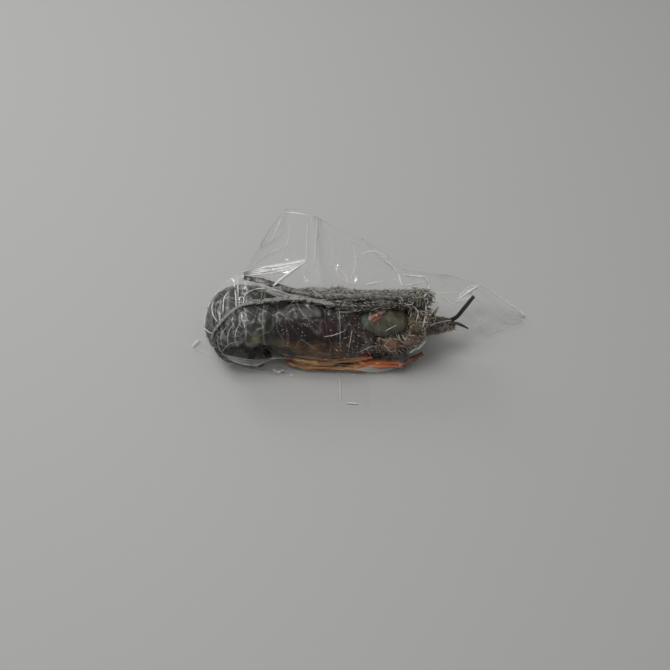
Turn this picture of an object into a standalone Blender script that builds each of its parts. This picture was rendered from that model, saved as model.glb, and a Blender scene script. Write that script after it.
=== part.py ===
"""A frozen spiny lobster, tail curled under, in the clear pouch that is drawn tight over it.

The pouch can't be opened, so it is one solid: the lobster's forms with the film on them, the film's
flat margin on the floor, and the loose end of the film that stands up behind. The lobster lies on
its belly along X, head to +X, and the viewer's side is -Y. The origin is on the floor under its
middle. Sizes are in millimetres, and each mesh is scaled to metres as it is made.
"""

import math
import random

import bmesh
import bpy
from mathutils import Matrix, Vector

MM = 0.001

# The back shell, by share of its length from the rear edge: half width, top and underside. The
# groove across it sweeps forward by GROOVE_SWEEP down each flank.
CARAPACE_LENGTH = 91
CARAPACE_REAR = -51
CARAPACE_SECTIONS = (
    (0.00, 22.5, 51, 14),
    (0.07, 25.0, 54, 8),
    (0.22, 27.3, 57, 1),
    (0.45, 28.0, 58, -2),
    (0.64, 27.0, 57, -2),
    (0.84, 24.0, 52, 2),
    (1.00, 17.0, 44, 12),
)
CARAPACE_RINGS = (0, 0.02, 0.07, 0.15, 0.25, 0.35, 0.44, 0.47, 0.50, 0.56, 0.66, 0.76, 0.87, 0.95, 1)
GROOVE_AT = 0.47
GROOVE_DEPTH = 2.4
GROOVE_SWEEP = 13
GROOVE_ENDS_AT = -0.5
CARAPACE_SQUARENESS = 0.88

# The tail runs straight back from the shell, then round a half circle and forward on the floor.
TAIL_START = -46
TAIL_STRAIGHT = 30
TAIL_JOINT_HEIGHT = 53
CURL_RADIUS = 28
CURL_CENTRE = Vector((TAIL_START - TAIL_STRAIGHT, 0, CURL_RADIUS))
TAIL_RINGS_AT = (0, 9, 23, 38, 53, 67, 80, 92)
TAIL_HALF_WIDTH = (23.0, 25.0, 25.0, 24.5, 23.5, 22.0, 20.0, 18.0)
TAIL_DEPTH = (30, 29, 26, 25, 24, 22, 20, 16)
SHELL_LIP = 1.3
RING_SQUARENESS = 0.8

# The tail fan, on the tail's own path: where each lobe starts and ends, sideways place, half width.
FAN_THICKNESS = 3.4
FAN_LOBES = (
    (88, 138, 0, 0, 10),
    (90, 141, 8, 15, 8),
    (90, 135, 13, 22, 7),
    (90, 141, -8, -15, 8),
    (90, 135, -13, -22, 7),
)

# Antennae, laid back over the shell: points and radii from base to tip.
FAR_ANTENNA = (
    ((66, 12, 44), 6.0),
    ((72, 9, 51), 5.6),
    ((62, 5, 58), 5.4),
    ((40, 4, 60.5), 5.2),
    ((10, 4, 61), 5.0),
    ((-12, 4.5, 61), 4.2),
    ((-35, 9.5, 60.5), 3.0),
    ((-47, 15, 60), 2.2),
    ((-58, 20.5, 59), 1.8),
    ((-73, 25, 57), 1.4),
)
NEAR_ANTENNA = (
    ((66, -5, 50), 4.6),
    ((64, 0, 56), 4.4),
    ((52, -1, 58), 3.8),
    ((30, -4, 58.5), 3.4),
    ((8, -4.5, 59.5), 3.2),
    ((-12, -0.5, 60), 3.0),
    ((-28, 3, 59.5), 2.8),
    ((-57, 1, 58.5), 2.4),
    ((-74, -4, 58.5), 2.3),
    ((-85.5, -13, 55.5), 2.2),
    ((-95.5, -21.5, 45), 2.1),
    ((-95, -26, 36), 2.0),
    ((-92, -27, 23), 1.8),
    ((-86, -26, 11), 1.4),
)
BASE_JOINTS = (
    ((30, 12, 31), 9.0),
    ((44, 15, 34), 11.0),
    ((57, 14, 36), 10.0),
    ((70, 10, 43), 7.0),
)
NEAR_ELBOW = (((50, -13, 34), 8.0), ((60, -12, 40), 7.5), ((67, -8, 47), 6.6), ((68, -2, 54), 5.6))

# The lobster's face: paired stalks between the antennae, and the thin whips at their ends.
STALK = (((48, 5, 30), 7.0), ((66, 5, 27), 6.0), ((82, 4, 26), 4.6), ((97, 2.5, 28), 3.0))
UP_WHIP = (((93, 3, 27), 2.2), ((99, 3, 34), 1.9), ((104, 6, 42), 1.9), ((111, 12, 50), 1.7))
FORWARD_WHIP = (((93, -1, 30), 1.8), ((100, -2, 31), 1.5), ((108, -6, 30), 1.1))
FAR_HORN = (((22, 11, 47), 5.0), ((30, 10, 53), 3.6), ((39, 7, 58), 1.0))
NEAR_HORN = (((20, -15, 50), 3.6), ((27, -13, 54.5), 2.8), ((39, -8, 57.5), 1.2))

# The glazed lump: middle, half sizes, and how far it is turned about X, Y and Z in degrees.
GLAZED_LUMP = ((38, -9.5, 45), (19, 12.5, 12), (0, 6, -5))
LUMP_SQUARENESS = 0.8

# The walking legs of one side, laid along the belly edge: points and radii from body to tip.
LEGS = (
    (((14, 12, 6), 4.0), ((24, 26, 9), 4.2), ((50, 27, 9), 3.7), ((56, 26, 7), 3.4), ((72, 18, 11), 2.2)),
    (((6, 14, 5), 4.0), ((-4, 25, 9), 4.2), ((-30, 24, 13), 3.6), ((-41, 21, 15), 2.8), ((-18, 29, 4), 1.8)),
    (((-4, 14, 4), 4.0), ((22, 29, 5), 4.2), ((6, 29.5, 4), 3.6), ((-22, 29, 4), 3.0), ((-36, 26, 5), 1.8)),
    (((-14, 13, 4), 4.0), ((-30, 24, 8), 3.8), ((-12, 27, 10), 3.4), ((14, 26, 12), 3.0), ((30, 25, 13), 1.8)),
    (((-24, 12, 6), 3.6), ((-40, 21, 9), 3.4), ((-26, 26, 3), 3.0), ((-8, 24, 3), 2.2), ((4, 22, 3), 1.6)),
)
BELLY = ((2, 0, 9), (44, 17, 12))

# Where the film spans a hollow: over the inside of the curl, and from the head down to the floor.
CURL_SPAN = ((-58, 0, 17), (30, 21.5, 15))
CHIN_SPAN = (((40, 0, 14), 20.0), ((60, 0, 15), 17.0), ((80, 0, 17), 10.0), ((96, 0, 25), 4.0))

# Sideways on every tube is measured from this direction, near which none of them points for long.
TUBE_UP = Vector((0, 0.34, 0.94))

# The film: its margin on the floor, and its loose end, from where it leaves the body to its edge.
FILM = 0.9
MARGIN = (
    (-119, -9), (-104, -15), (-89, -25), (-70, -30), (-37, -35), (1, -37), (3, -63), (27, -64),
    (29, -37), (56, -33), (82, -21), (112, -5), (163, 16), (161, 25), (120, 22), (84, 22),
    (40, 31), (-20, 31), (-72, 29), (-96, 20), (-108, 2),
)
LOOSE_END_FOOT = (
    (-74, 22, 46), (-48, 12, 50), (-16, 3, 52), (22, 3, 52), (52, 7, 50), (74, 7, 42),
    (98, 2, 26), (122, 4, 0), (160, 18, -1),
)
LOOSE_END_EDGE = (
    (-73, 27, 60), (-41, 61, 95), (-20, 57, 97), (2, 53, 85), (21, 49, 78), (40, 43, 66),
    (55, 40, 57), (122, 37, 31), (163, 26, 4),
)
PLEAT_AT = 0.27
TENT_FOOT = ((-66, 12, 52), (-80, 12, 50), (-89, 10, 42), (-93, 8, 32))
TENT_EDGE = ((-73, 26, 58.5), (-85, 25.5, 53), (-93, 22, 45), (-98, 15, 35))
CORNER_TIP = (((-96, -3, 24), 5.0), ((-108, -5, 12), 3.0), ((-121, -8, 3), 1.0))


def between(table, share):
    """Row of a table (first column rising from 0 to 1) at a share, eased from row to row."""
    for low, high in zip(table, table[1:]):
        if share <= high[0]:
            part = (share - low[0]) / (high[0] - low[0])
            part = part * part * (3 - 2 * part)
            return [a + (b - a) * part for a, b in zip(low[1:], high[1:])]
    return list(table[-1][1:])


def on_curve(points, share):
    """Point at a share of a smooth curve that passes through all the points."""
    points = [Vector(point) for point in points]
    reach = share * (len(points) - 1)
    index = min(int(reach), len(points) - 2)
    part = reach - index
    before = points[max(index - 1, 0)]
    start, end = points[index], points[index + 1]
    after = points[min(index + 2, len(points) - 1)]
    leave = (end - before) / 2
    arrive = (after - start) / 2
    return (
        start * (2 * part**3 - 3 * part**2 + 1)
        + leave * (part**3 - 2 * part**2 + part)
        + end * (3 * part**2 - 2 * part**3)
        + arrive * (part**3 - part**2)
    )


def finish(name, shape):
    """An object in metres from a shape in millimetres, with its faces pointing out."""
    bmesh.ops.recalc_face_normals(shape, faces=shape.faces)
    bmesh.ops.scale(shape, vec=(MM, MM, MM), verts=shape.verts)
    mesh = bpy.data.meshes.new(name)
    shape.to_mesh(mesh)
    shape.free()
    piece = bpy.data.objects.new(name, mesh)
    bpy.context.scene.collection.objects.link(piece)
    return piece


def rolled_skin(name, around, along, place):
    """Closed solid from a sheet rolled up: place(turn, share) gives the point at a turn round it, in
    radians, and a share of its length."""
    shape = bmesh.new()
    bmesh.ops.create_grid(shape, x_segments=around, y_segments=along, size=0.5)
    for vert in shape.verts:
        vert.co = place(2 * math.pi * (vert.co.x + 0.5), vert.co.y + 0.5)
    bmesh.ops.remove_doubles(shape, verts=shape.verts, dist=0.01)
    bmesh.ops.holes_fill(shape, edges=shape.edges, sides=0)
    return finish(name, shape)


def tube(name, route, sides=8, steps=3, flat=1.0):
    """Tapering tube through route, a list of (point, radius). flat squeezes it in height."""
    points = [Vector(point) for point, _ in route]
    radii = [(index / (len(route) - 1), radius) for index, (_, radius) in enumerate(route)]
    count = steps * (len(route) - 1)

    def place(turn, share):
        nudge = 0.5 / count
        centre = on_curve(points, share)
        ahead = on_curve(points, min(share + nudge, 1)) - on_curve(points, max(share - nudge, 0))
        ahead.normalize()
        side = ahead.cross(TUBE_UP)
        side = side.normalized() if side.length > 0.2 else Vector((0, 1, 0))
        rise = side.cross(ahead).normalized()
        radius = between(radii, share)[0]
        return centre + side * radius * math.cos(turn) + rise * radius * flat * math.sin(turn)

    return rolled_skin(name, sides, count, place)


def egg(name, centre, half, turned=(0, 0, 0), sides=14, rings=7, squareness=1.0):
    """Ellipsoid with the given half sizes, turned about X, Y and Z in degrees. A squareness below 1
    fills out its corners."""
    shape = bmesh.new()
    bmesh.ops.create_uvsphere(shape, u_segments=sides, v_segments=rings, radius=1)
    for vert in shape.verts:
        vert.co = [math.copysign(abs(value) ** squareness, value) for value in vert.co]
    turn = Matrix.Identity(4)
    for angle, axis in zip(turned, "XYZ"):
        turn = turn @ Matrix.Rotation(math.radians(angle), 4, axis)
    placed = Matrix.Translation(centre) @ turn @ Matrix.Diagonal((*half, 1))
    bmesh.ops.transform(shape, matrix=placed, verts=shape.verts)
    return finish(name, shape)


def spine(name, foot, lean, length, radius):
    """Four-sided spine from a point in the shell, along a direction."""
    shape = bmesh.new()
    lean = Vector(lean).normalized()
    bmesh.ops.create_cone(
        shape, cap_ends=True, segments=4, radius1=radius, radius2=radius * 0.15, depth=length
    )
    turn = lean.to_track_quat("Z", "Y").to_matrix().to_4x4()
    placed = Matrix.Translation(Vector(foot) + lean * (length / 2 - radius)) @ turn
    bmesh.ops.transform(shape, matrix=placed, verts=shape.verts)
    return finish(name, shape)


def rounded(angle, power):
    """Cosine and sine of an angle, squared off by a power below 1, as a shell's section is."""
    cosine, sine = math.cos(angle), math.sin(angle)
    return (
        math.copysign(abs(cosine) ** power, cosine),
        math.copysign(abs(sine) ** power, sine),
    )


def carapace_point(angle, share):
    """Point on the back shell at an angle round it and a share of its length."""
    half, top, bottom = between(CARAPACE_SECTIONS, share)
    across, up = rounded(angle, CARAPACE_SQUARENESS)
    groove = 1 if share == GROOVE_AT and up > GROOVE_ENDS_AT else 0
    sweep = GROOVE_SWEEP * (1 - up) / 2 * math.sin(math.pi * share) ** 2
    squeeze = 1 - groove * GROOVE_DEPTH / half
    middle, rise = (top + bottom) / 2, (top - bottom) / 2
    x = CARAPACE_REAR + CARAPACE_LENGTH * share + sweep
    return Vector((x, half * across * squeeze, middle + rise * up * squeeze))


def carapace():
    def place(turn, share):
        return carapace_point(turn, CARAPACE_RINGS[round(share * (len(CARAPACE_RINGS) - 1))])

    return rolled_skin("carapace", 28, len(CARAPACE_RINGS) - 1, place)


def back_line(distance):
    """Point on the tail's back and the way in from it, at a distance behind the shell."""
    if distance < TAIL_STRAIGHT:
        share = distance / TAIL_STRAIGHT
        height = TAIL_JOINT_HEIGHT + (2 * CURL_RADIUS - TAIL_JOINT_HEIGHT) * math.sin(share * math.pi / 2)
        return Vector((TAIL_START - distance, 0, height)), Vector((0, 0, -1))
    angle = (distance - TAIL_STRAIGHT) / CURL_RADIUS
    forward = max(angle - math.pi, 0) * CURL_RADIUS
    angle = min(angle, math.pi)
    inward = Vector((math.sin(angle), 0, -math.cos(angle)))
    return CURL_CENTRE - inward * CURL_RADIUS + Vector((forward, 0, 0)), inward


def tail_segment(number):
    """One ring of the tail, with a lip over the next one."""
    start, end = TAIL_RINGS_AT[number], TAIL_RINGS_AT[number + 1]

    def place(turn, share):
        lip = SHELL_LIP * share
        point, inward = back_line(start - 1.5 + (end - start + 3) * share)
        half = TAIL_HALF_WIDTH[number] + (TAIL_HALF_WIDTH[number + 1] - TAIL_HALF_WIDTH[number]) * share
        depth = TAIL_DEPTH[number] + (TAIL_DEPTH[number + 1] - TAIL_DEPTH[number]) * share
        across, up = rounded(turn, RING_SQUARENESS)
        inset = depth / 2 * (1 - up) - lip * max(up, 0)
        return point + inward * inset + Vector((0, (half + lip - SHELL_LIP) * across, 0))

    return rolled_skin(f"tail_ring_{number}", 24, 2, place)


def side_lobe(number, side):
    """The pointed flap at one side of a tail ring, which hangs in towards the curl."""
    distance = (TAIL_RINGS_AT[number] + TAIL_RINGS_AT[number + 1]) / 2
    half = TAIL_HALF_WIDTH[number] - 3
    route = []
    for share, radius in ((0.35, 6.5), (0.70, 5.5), (1.05, 2.0)):
        point, inward = back_line(distance + 5 * share)
        sideways = Vector((0, side * (half + 1.5 * share), 0))
        route.append((point + inward * TAIL_DEPTH[number] * share + sideways, radius))
    lobe = tube(f"side_lobe_{number}_{'far' if side > 0 else 'near'}", route, sides=6, steps=2)
    for vert in lobe.data.vertices:
        middle = side * half * MM
        vert.co.y = middle + (vert.co.y - middle) * 0.45
    return lobe


def fan_lobe(number, start, end, start_side, end_side, half):
    """One lobe of the tail fan, a thin rounded blade on the tail's own path."""

    def place(turn, share):
        point, inward = back_line(start + (end - start) * share)
        width = half * (0.55 + 0.45 * math.sin(math.pi * share * 0.75))
        width *= math.sqrt(max(1 - max(share - 0.7, 0) ** 2 / 0.1, 0.05))
        sideways = start_side + (end_side - start_side) * share + width * math.cos(turn)
        inset = 0.2 + FAN_THICKNESS * (1 + math.sin(turn)) / 2
        return point + inward * inset + Vector((0, sideways, 0))

    return rolled_skin(f"fan_lobe_{number}", 8, 6, place)


def mirrored(route):
    return [(Vector((point[0], -point[1], point[2])), radius) for point, radius in route]


def legs():
    """Both sides' legs, the far ones a little less tidy than the near ones."""
    made = []
    for number, route in enumerate(LEGS):
        made.append(tube(f"near_leg_{number}", mirrored(route), sides=7, steps=3))
        shifted = [((point[0] - 2, point[1] - 1, point[2] + 0.6), radius) for point, radius in route]
        made.append(tube(f"far_leg_{number}", shifted, sides=6, steps=2))
    return made


def head():
    """Base joints of the antennae, stalks, whips, horns and the glazed lump on the near horn."""
    near_joints = [((x, -y, z - 3), radius) for (x, y, z), radius in BASE_JOINTS]
    return [
        tube("far_base_joints", BASE_JOINTS, sides=12, steps=3),
        tube("near_base_joints", near_joints, sides=12, steps=3),
        tube("near_elbow", NEAR_ELBOW, sides=10, steps=2),
        tube("far_stalk", STALK, sides=8, steps=2),
        tube("near_stalk", mirrored(STALK), sides=8, steps=2),
        tube("up_whip", UP_WHIP, sides=6, steps=2),
        tube("forward_whip", FORWARD_WHIP, sides=6, steps=2),
        tube("far_horn", FAR_HORN, sides=8, steps=2),
        tube("near_horn", NEAR_HORN, sides=8, steps=2),
        egg("glazed_lump", *GLAZED_LUMP, sides=16, rings=9, squareness=LUMP_SQUARENESS),
    ]


def spines():
    """Spines on the front of the shell, on the base joints and along the thick ends of the antennae."""
    draw = random.Random(4)
    made = []
    for share in (0.60, 0.72, 0.84, 0.96):
        for angle in (28, 52, 76, 104, 128, 152):
            foot = carapace_point(math.radians(angle + draw.uniform(-6, 6)), share)
            _, top, bottom = between(CARAPACE_SECTIONS, share)
            out = (foot - Vector((foot.x, 0, (top + bottom) / 2))).normalized()
            lean = out + Vector((0.9, 0, 0))
            made.append(spine(f"shell_spine_{len(made)}", foot, lean, draw.uniform(4.5, 6.5), 1.4))
    for side in (1, -1):
        for x in (41, 50, 60):
            for angle in (20, 65, 110):
                centre = on_curve([point for point, _ in BASE_JOINTS], (x - 30) / 40)
                centre.y *= side
                out = Vector((0.5, side * math.cos(math.radians(angle)), math.sin(math.radians(angle))))
                foot = centre + out.normalized() * 9.6
                made.append(spine(f"joint_spine_{len(made)}", foot, out, draw.uniform(5, 7), 1.5))
    return made


def antennae():
    return [
        tube("far_antenna", FAR_ANTENNA, sides=8, steps=3),
        tube("near_antenna", NEAR_ANTENNA, sides=8, steps=2),
    ]


def margin():
    """The pouch's flat margin: the film under and round the lobster, on the floor."""
    shape = bmesh.new()
    rim = [shape.verts.new((x, y, -1)) for x, y in MARGIN]
    bottom = shape.faces.new(rim)
    raised = bmesh.ops.extrude_face_region(shape, geom=[bottom])["geom"]
    lifted = [part for part in raised if isinstance(part, bmesh.types.BMVert)]
    bmesh.ops.translate(shape, vec=(0, 0, 1 + FILM), verts=lifted)
    return finish("margin", shape)


def film_sheet(name, foot_curve, edge_curve, along, up, swell):
    """A sheet of film between two curves, pushed out of true by swell(share, rise)."""
    shape = bmesh.new()
    bmesh.ops.create_grid(shape, x_segments=along, y_segments=up, size=0.5)
    for vert in shape.verts:
        share, rise = vert.co.x + 0.5, vert.co.y + 0.5
        foot, edge = on_curve(foot_curve, share), on_curve(edge_curve, share)
        out = (edge - foot).cross(Vector((1, 0, 0)))
        out = out.normalized() if out.length > 1 else Vector((0, 1, 0))
        vert.co = foot.lerp(edge, rise) - out * swell(share, rise)
    bmesh.ops.recalc_face_normals(shape, faces=shape.faces)
    bmesh.ops.solidify(shape, geom=shape.faces[:], thickness=FILM)
    return finish(name, shape)


def loose_end():
    """The film's loose end: a double sheet that stands up behind, with one pleat and soft waves."""

    def swell(share, rise):
        calm = min(rise * 2, 1) * min((1 - share) * 5, 1)
        pleat = 5 * math.exp(-(((share - PLEAT_AT) / 0.035) ** 2))
        waves = 2.2 * math.sin(19 * share + 2 * rise) * math.sin(math.pi * min(share * 1.2, 1))
        return (pleat + waves - 5 * math.sin(math.pi * rise)) * calm

    return film_sheet("loose_end", LOOSE_END_FOOT, LOOSE_END_EDGE, 26, 5, swell)


def tent():
    """The film between the far antenna's tip and the round of the tail."""
    return film_sheet("tent", TENT_FOOT, TENT_EDGE, 8, 2, lambda share, rise: 0)


def flattened(piece):
    """Cuts the piece off at the floor, so that it lies on a flat underside."""
    shape = bmesh.new()
    bmesh.ops.create_cube(shape, size=1)
    below = 20
    bmesh.ops.scale(shape, vec=(400, 300, below), verts=shape.verts)
    bmesh.ops.translate(shape, vec=(0, 0, -below / 2), verts=shape.verts)
    floor = finish("floor_cutter", shape)
    cut = piece.modifiers.new("floor", "BOOLEAN")
    cut.operation = "DIFFERENCE"
    cut.solver = "MANIFOLD"
    cut.object = floor
    applied(piece)
    bpy.data.objects.remove(floor)


def applied(piece):
    """Replaces the piece's mesh by what its modifiers make of it."""
    bpy.context.view_layer.update()
    graph = bpy.context.evaluated_depsgraph_get()
    mesh = bpy.data.meshes.new_from_object(piece.evaluated_get(graph))
    piece.modifiers.clear()
    piece.data = mesh


def joined(pieces, name):
    """One solid from all the pieces, by a single union."""
    first, rest = pieces[0], pieces[1:]
    others = bpy.data.collections.new("to_join")
    bpy.context.scene.collection.children.link(others)
    for piece in rest:
        bpy.context.scene.collection.objects.unlink(piece)
        others.objects.link(piece)
    union = first.modifiers.new("union", "BOOLEAN")
    union.operation = "UNION"
    union.operand_type = "COLLECTION"
    union.collection = others
    union.solver = "MANIFOLD"
    applied(first)
    for piece in rest:
        bpy.data.objects.remove(piece)
    bpy.data.collections.remove(others)
    first.name = name
    return first


def outer_skin_only(piece):
    """Keeps the largest closed skin, so that sealed hollows are filled and loose scraps dropped."""
    shape = bmesh.new()
    shape.from_mesh(piece.data)
    bmesh.ops.dissolve_degenerate(shape, edges=shape.edges, dist=1e-6)
    bmesh.ops.triangulate(shape, faces=shape.faces)
    waiting = set(shape.verts)
    skins = []
    while waiting:
        reached = [waiting.pop()]
        for vert in reached:
            for edge in vert.link_edges:
                other = edge.other_vert(vert)
                if other in waiting:
                    waiting.discard(other)
                    reached.append(other)
        skins.append(reached)
    skins.sort(key=len)
    scraps = [vert for skin in skins[:-1] for vert in skin]
    bmesh.ops.delete(shape, geom=scraps, context="VERTS")
    shape.to_mesh(piece.data)
    shape.free()


def film_material():
    material = bpy.data.materials.new("clear_film_over_shell")
    material.use_nodes = True
    surface = material.node_tree.nodes["Principled BSDF"]
    surface.inputs["Base Color"].default_value = (0.075, 0.052, 0.040, 1)
    surface.inputs["Roughness"].default_value = 0.32
    surface.inputs["Metallic"].default_value = 0
    return material


def build():
    for old in list(bpy.data.objects):
        bpy.data.objects.remove(old)
    pieces = [carapace(), egg("belly", *BELLY)]
    pieces += [tail_segment(number) for number in range(len(TAIL_RINGS_AT) - 1)]
    pieces += [side_lobe(number, side) for number in range(1, 6) for side in (1, -1)]
    pieces += [fan_lobe(number, *lobe) for number, lobe in enumerate(FAN_LOBES)]
    pieces += legs() + head() + antennae() + spines()
    pieces += [egg("curl_span", *CURL_SPAN), tube("chin_span", CHIN_SPAN, sides=12)]
    pieces += [tube("corner_tip", CORNER_TIP, sides=8, steps=2, flat=0.4)]
    pieces += [margin(), loose_end(), tent()]
    pouch = joined(pieces, "lobster_pouch")
    flattened(pouch)
    outer_skin_only(pouch)
    pouch.data.materials.clear()
    pouch.data.materials.append(film_material())
    pouch.data.shade_smooth()
    pouch.data.set_sharp_from_angle(angle=math.radians(35))


build()
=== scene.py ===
"""A frozen spiny lobster drawn tight in a clear film pouch: finish, film and frost."""

import math
import random

import bmesh
import bpy
from mathutils import Matrix, Vector, noise
from mathutils.bvhtree import BVHTree


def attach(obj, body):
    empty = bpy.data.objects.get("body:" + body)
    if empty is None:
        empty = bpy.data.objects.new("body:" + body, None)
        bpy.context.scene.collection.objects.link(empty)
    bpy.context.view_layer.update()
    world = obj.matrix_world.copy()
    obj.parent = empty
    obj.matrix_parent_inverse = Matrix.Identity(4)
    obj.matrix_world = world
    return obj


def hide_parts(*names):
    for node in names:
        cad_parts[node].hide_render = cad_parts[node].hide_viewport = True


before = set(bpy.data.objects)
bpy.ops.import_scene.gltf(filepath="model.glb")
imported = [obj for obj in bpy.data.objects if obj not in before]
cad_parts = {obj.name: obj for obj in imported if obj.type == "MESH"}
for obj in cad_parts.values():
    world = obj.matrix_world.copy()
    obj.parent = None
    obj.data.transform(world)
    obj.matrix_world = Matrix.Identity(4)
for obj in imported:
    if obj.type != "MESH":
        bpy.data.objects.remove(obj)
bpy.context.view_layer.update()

# Sizes are in millimetres, in the model's own frame, and a shape is made metres as it is finished.
MM = 0.001
NODE = "lobster_pouch"
BODY = "root"
NOISE_SEED = 7

CARAPACE_LENGTH = 91
CARAPACE_REAR = -51
CARAPACE_SECTIONS = (
    (0.00, 22.5, 51, 14),
    (0.07, 25.0, 54, 8),
    (0.22, 27.3, 57, 1),
    (0.45, 28.0, 58, 1),
    (0.64, 27.0, 57, 1),
    (0.84, 24.0, 52, 3),
    (1.00, 17.0, 44, 12),
)
GROOVE_AT = 0.47
GROOVE_DEPTH = 2.2
GROOVE_SWEEP = 13

TAIL_START = -46
TAIL_STRAIGHT = 30
TAIL_JOINT_HEIGHT = 53
CURL_RADIUS = 28
CURL_CENTRE = Vector((TAIL_START - TAIL_STRAIGHT, 0, CURL_RADIUS))
TAIL_RINGS_AT = (0, 9, 23, 38, 53, 67, 80, 92)
TAIL_HALF_WIDTH = (23.0, 25.0, 25.0, 24.5, 23.5, 22.0, 20.0, 18.0)
TAIL_DEPTH = (30, 29, 26, 25, 24, 22, 20, 16)
SHELL_LIP = 1.3
RINGS_WITH_LOBES = range(1, 6)

FAN_THICKNESS = 2.4
FAN_LOBES = (
    (88, 138, 0, 0, 10),
    (90, 141, 8, 15, 8),
    (90, 135, 13, 22, 7),
    (90, 141, -8, -15, 8),
    (90, 135, -13, -22, 7),
)

FAR_ANTENNA = (
    ((66, 12, 44), 6.0),
    ((72, 9, 51), 5.6),
    ((62, 5, 58), 5.4),
    ((40, 4, 60.5), 5.2),
    ((10, 4, 61), 5.0),
    ((-12, 4.5, 61), 4.2),
    ((-35, 9.5, 60.5), 3.0),
    ((-47, 15, 60), 2.5),
    ((-58, 20.5, 59), 2.2),
    ((-73, 25, 57), 1.6),
)
NEAR_ANTENNA = (
    ((66, -5, 50), 4.6),
    ((64, 0, 56), 4.4),
    ((52, -1, 58), 3.8),
    ((30, -4, 58.5), 3.4),
    ((8, -4.5, 59.5), 2.9),
    ((-12, -0.5, 60), 2.6),
    ((-28, 3, 59.5), 2.2),
    ((-57, 1, 58.5), 1.7),
    ((-74, -4, 58.5), 1.5),
    ((-85.5, -13, 55.5), 1.4),
    ((-95.5, -21.5, 45), 1.3),
    ((-95, -26, 36), 1.2),
    ((-92, -27, 23), 1.3),
    ((-86, -26, 11), 1.1),
)
NEAR_ELBOW = (((50, -13, 34), 8.0), ((60, -12, 40), 7.5), ((67, -8, 47), 6.6), ((68, -2, 54), 5.6))
BASE_JOINTS = (
    ((30, 12, 31), 9.0),
    ((44, 15, 34), 11.0),
    ((57, 14, 36), 10.0),
    ((70, 10, 43), 7.0),
)
STALK = (((48, 5, 30), 7.0), ((66, 5, 27), 5.6), ((82, 4, 26), 3.8), ((97, 2.5, 28), 2.2))
SPIKE = (((78, 2, 29), 2.2), ((80, 3, 38), 1.4), ((83, 6, 44), 0.3))
UP_WHIP = (((93, 3, 27), 2.0), ((99, 3, 34), 1.7), ((104, 6, 42), 1.7), ((111, 12, 50), 1.5))
FORWARD_WHIP = (((93, -1, 30), 1.6), ((100, -2, 31), 1.3), ((108, -6, 30), 0.6))
FAR_HORN = (((22, 11, 47), 5.0), ((30, 10, 53), 3.6), ((39, 7, 58), 1.0))
NEAR_HORN = (((26.5, -12.6, 52.5), 1.8), ((31, -11.2, 55.3), 2.3), ((39, -8, 58), 0.7))
NEAR_HORN_RIDGE = (((27, -16, 51.5), 1.0), ((30, -15, 54.2), 1.1), ((35.5, -12.5, 56.8), 0.4))
GLAZED_LUMP = ((38, -8.5, 45.5), (19, 12, 10.5), (0, 4, -3))
LUMP_SQUARENESS = 0.8
MOUTH_LIMB = (
    ((14, 13, 13), 6.5),
    ((34, 17, 15), 6.0),
    ((48, 17, 18), 5.2),
    ((62, 14, 22), 4.0),
    ((72, 9, 25), 2.0),
)
FAR_EYE = ((34, 17, 46), (3.6, 3.2, 3.2))
# Each leg from the belly to its tip: places along it and its radii there.
LEGS = (
    (((14, 12, 6), (24, 26, 9), (50, 27, 9), (56, 26, 7), (72, 18, 11)), (4.0, 4.2, 3.7, 3.4, 2.2)),
    (((6, 14, 5), (-4, 25, 9), (-30, 24, 13), (-41, 21, 15), (-18, 29, 4)), (4.0, 4.2, 3.6, 2.8, 1.8)),
    (((-4, 14, 4), (22, 27, 6), (6, 27.5, 5), (-22, 27, 5), (-36, 24, 6)), (4.0, 4.2, 3.6, 3.0, 1.8)),
    (((-14, 13, 4), (-30, 22, 9), (-12, 25.5, 12), (14, 25, 14), (30, 24, 15)), (4.0, 3.8, 3.4, 3.0, 1.8)),
    (((-24, 12, 6), (-40, 21, 9), (-26, 26, 3), (-8, 24, 3), (4, 22, 3)), (3.6, 3.4, 3.0, 2.2, 1.6)),
)
BELLY = ((2, 0, 13), (44, 17, 12))

LEG_SLIMNESS = 0.8
TUBE_UP = Vector((0, 0.34, 0.94))
FLOOR_GAP = 0.25
# The shaded hollow in the curl of the tail, on the viewer's side: its centre and half sizes.
# The film is kept clear over it, so that the painted shade under it shows dark.
HOLLOW = ((-57, -22, 22), (28, 24, 12))
MARGIN = (
    (-119, -9), (-104, -15), (-89, -25), (-70, -30), (-37, -35), (1, -37), (3, -63), (27, -64),
    (29, -37), (56, -33), (82, -21), (112, -5), (163, 16), (161, 25), (120, 22), (84, 22),
    (40, 31), (-20, 31), (-72, 29), (-96, 20), (-108, 2),
)
LOOSE_END_FOOT = (
    (-74, 22, 46), (-48, 12, 50), (-16, 3, 52), (22, 3, 52), (52, 7, 50), (74, 7, 42),
    (98, 2, 26), (122, 4, 0), (160, 18, 0),
)
LOOSE_END_EDGE = (
    (-73, 27, 60), (-41, 61, 95), (-20, 57, 97), (2, 53, 85), (21, 49, 78), (40, 43, 66),
    (55, 40, 57), (122, 37, 31), (163, 26, 4),
)
# The parts of the margin's slab are put in order along this, so that it is cut up alike each time.
SORTED_ALONG = Vector((1000, 30, 1))
PLEAT_AT = 0.27
TENT_FOOT = ((-66, 12, 52), (-80, 12, 50), (-89, 10, 42), (-93, 8, 32))
TENT_EDGE = ((-73, 26, 58.5), (-85, 25.5, 53), (-93, 22, 45), (-98, 15, 35))

# The photo's view: 670 pixels square, so many pixels of focal length, from this place.
FRAME_PIXELS = 670
FOCAL_PIXELS = 732
CAMERA_AT = Vector((0, -324.5, 530))
CAMERA_TILT = 32
SENSOR = 36


def between(table, share):
    """Row of a table (first column rising from 0 to 1) at a share, eased from row to row."""
    for low, high in zip(table, table[1:]):
        if share <= high[0]:
            part = (share - low[0]) / (high[0] - low[0])
            part = part * part * (3 - 2 * part)
            return [a + (b - a) * part for a, b in zip(low[1:], high[1:])]
    return list(table[-1][1:])


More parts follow.
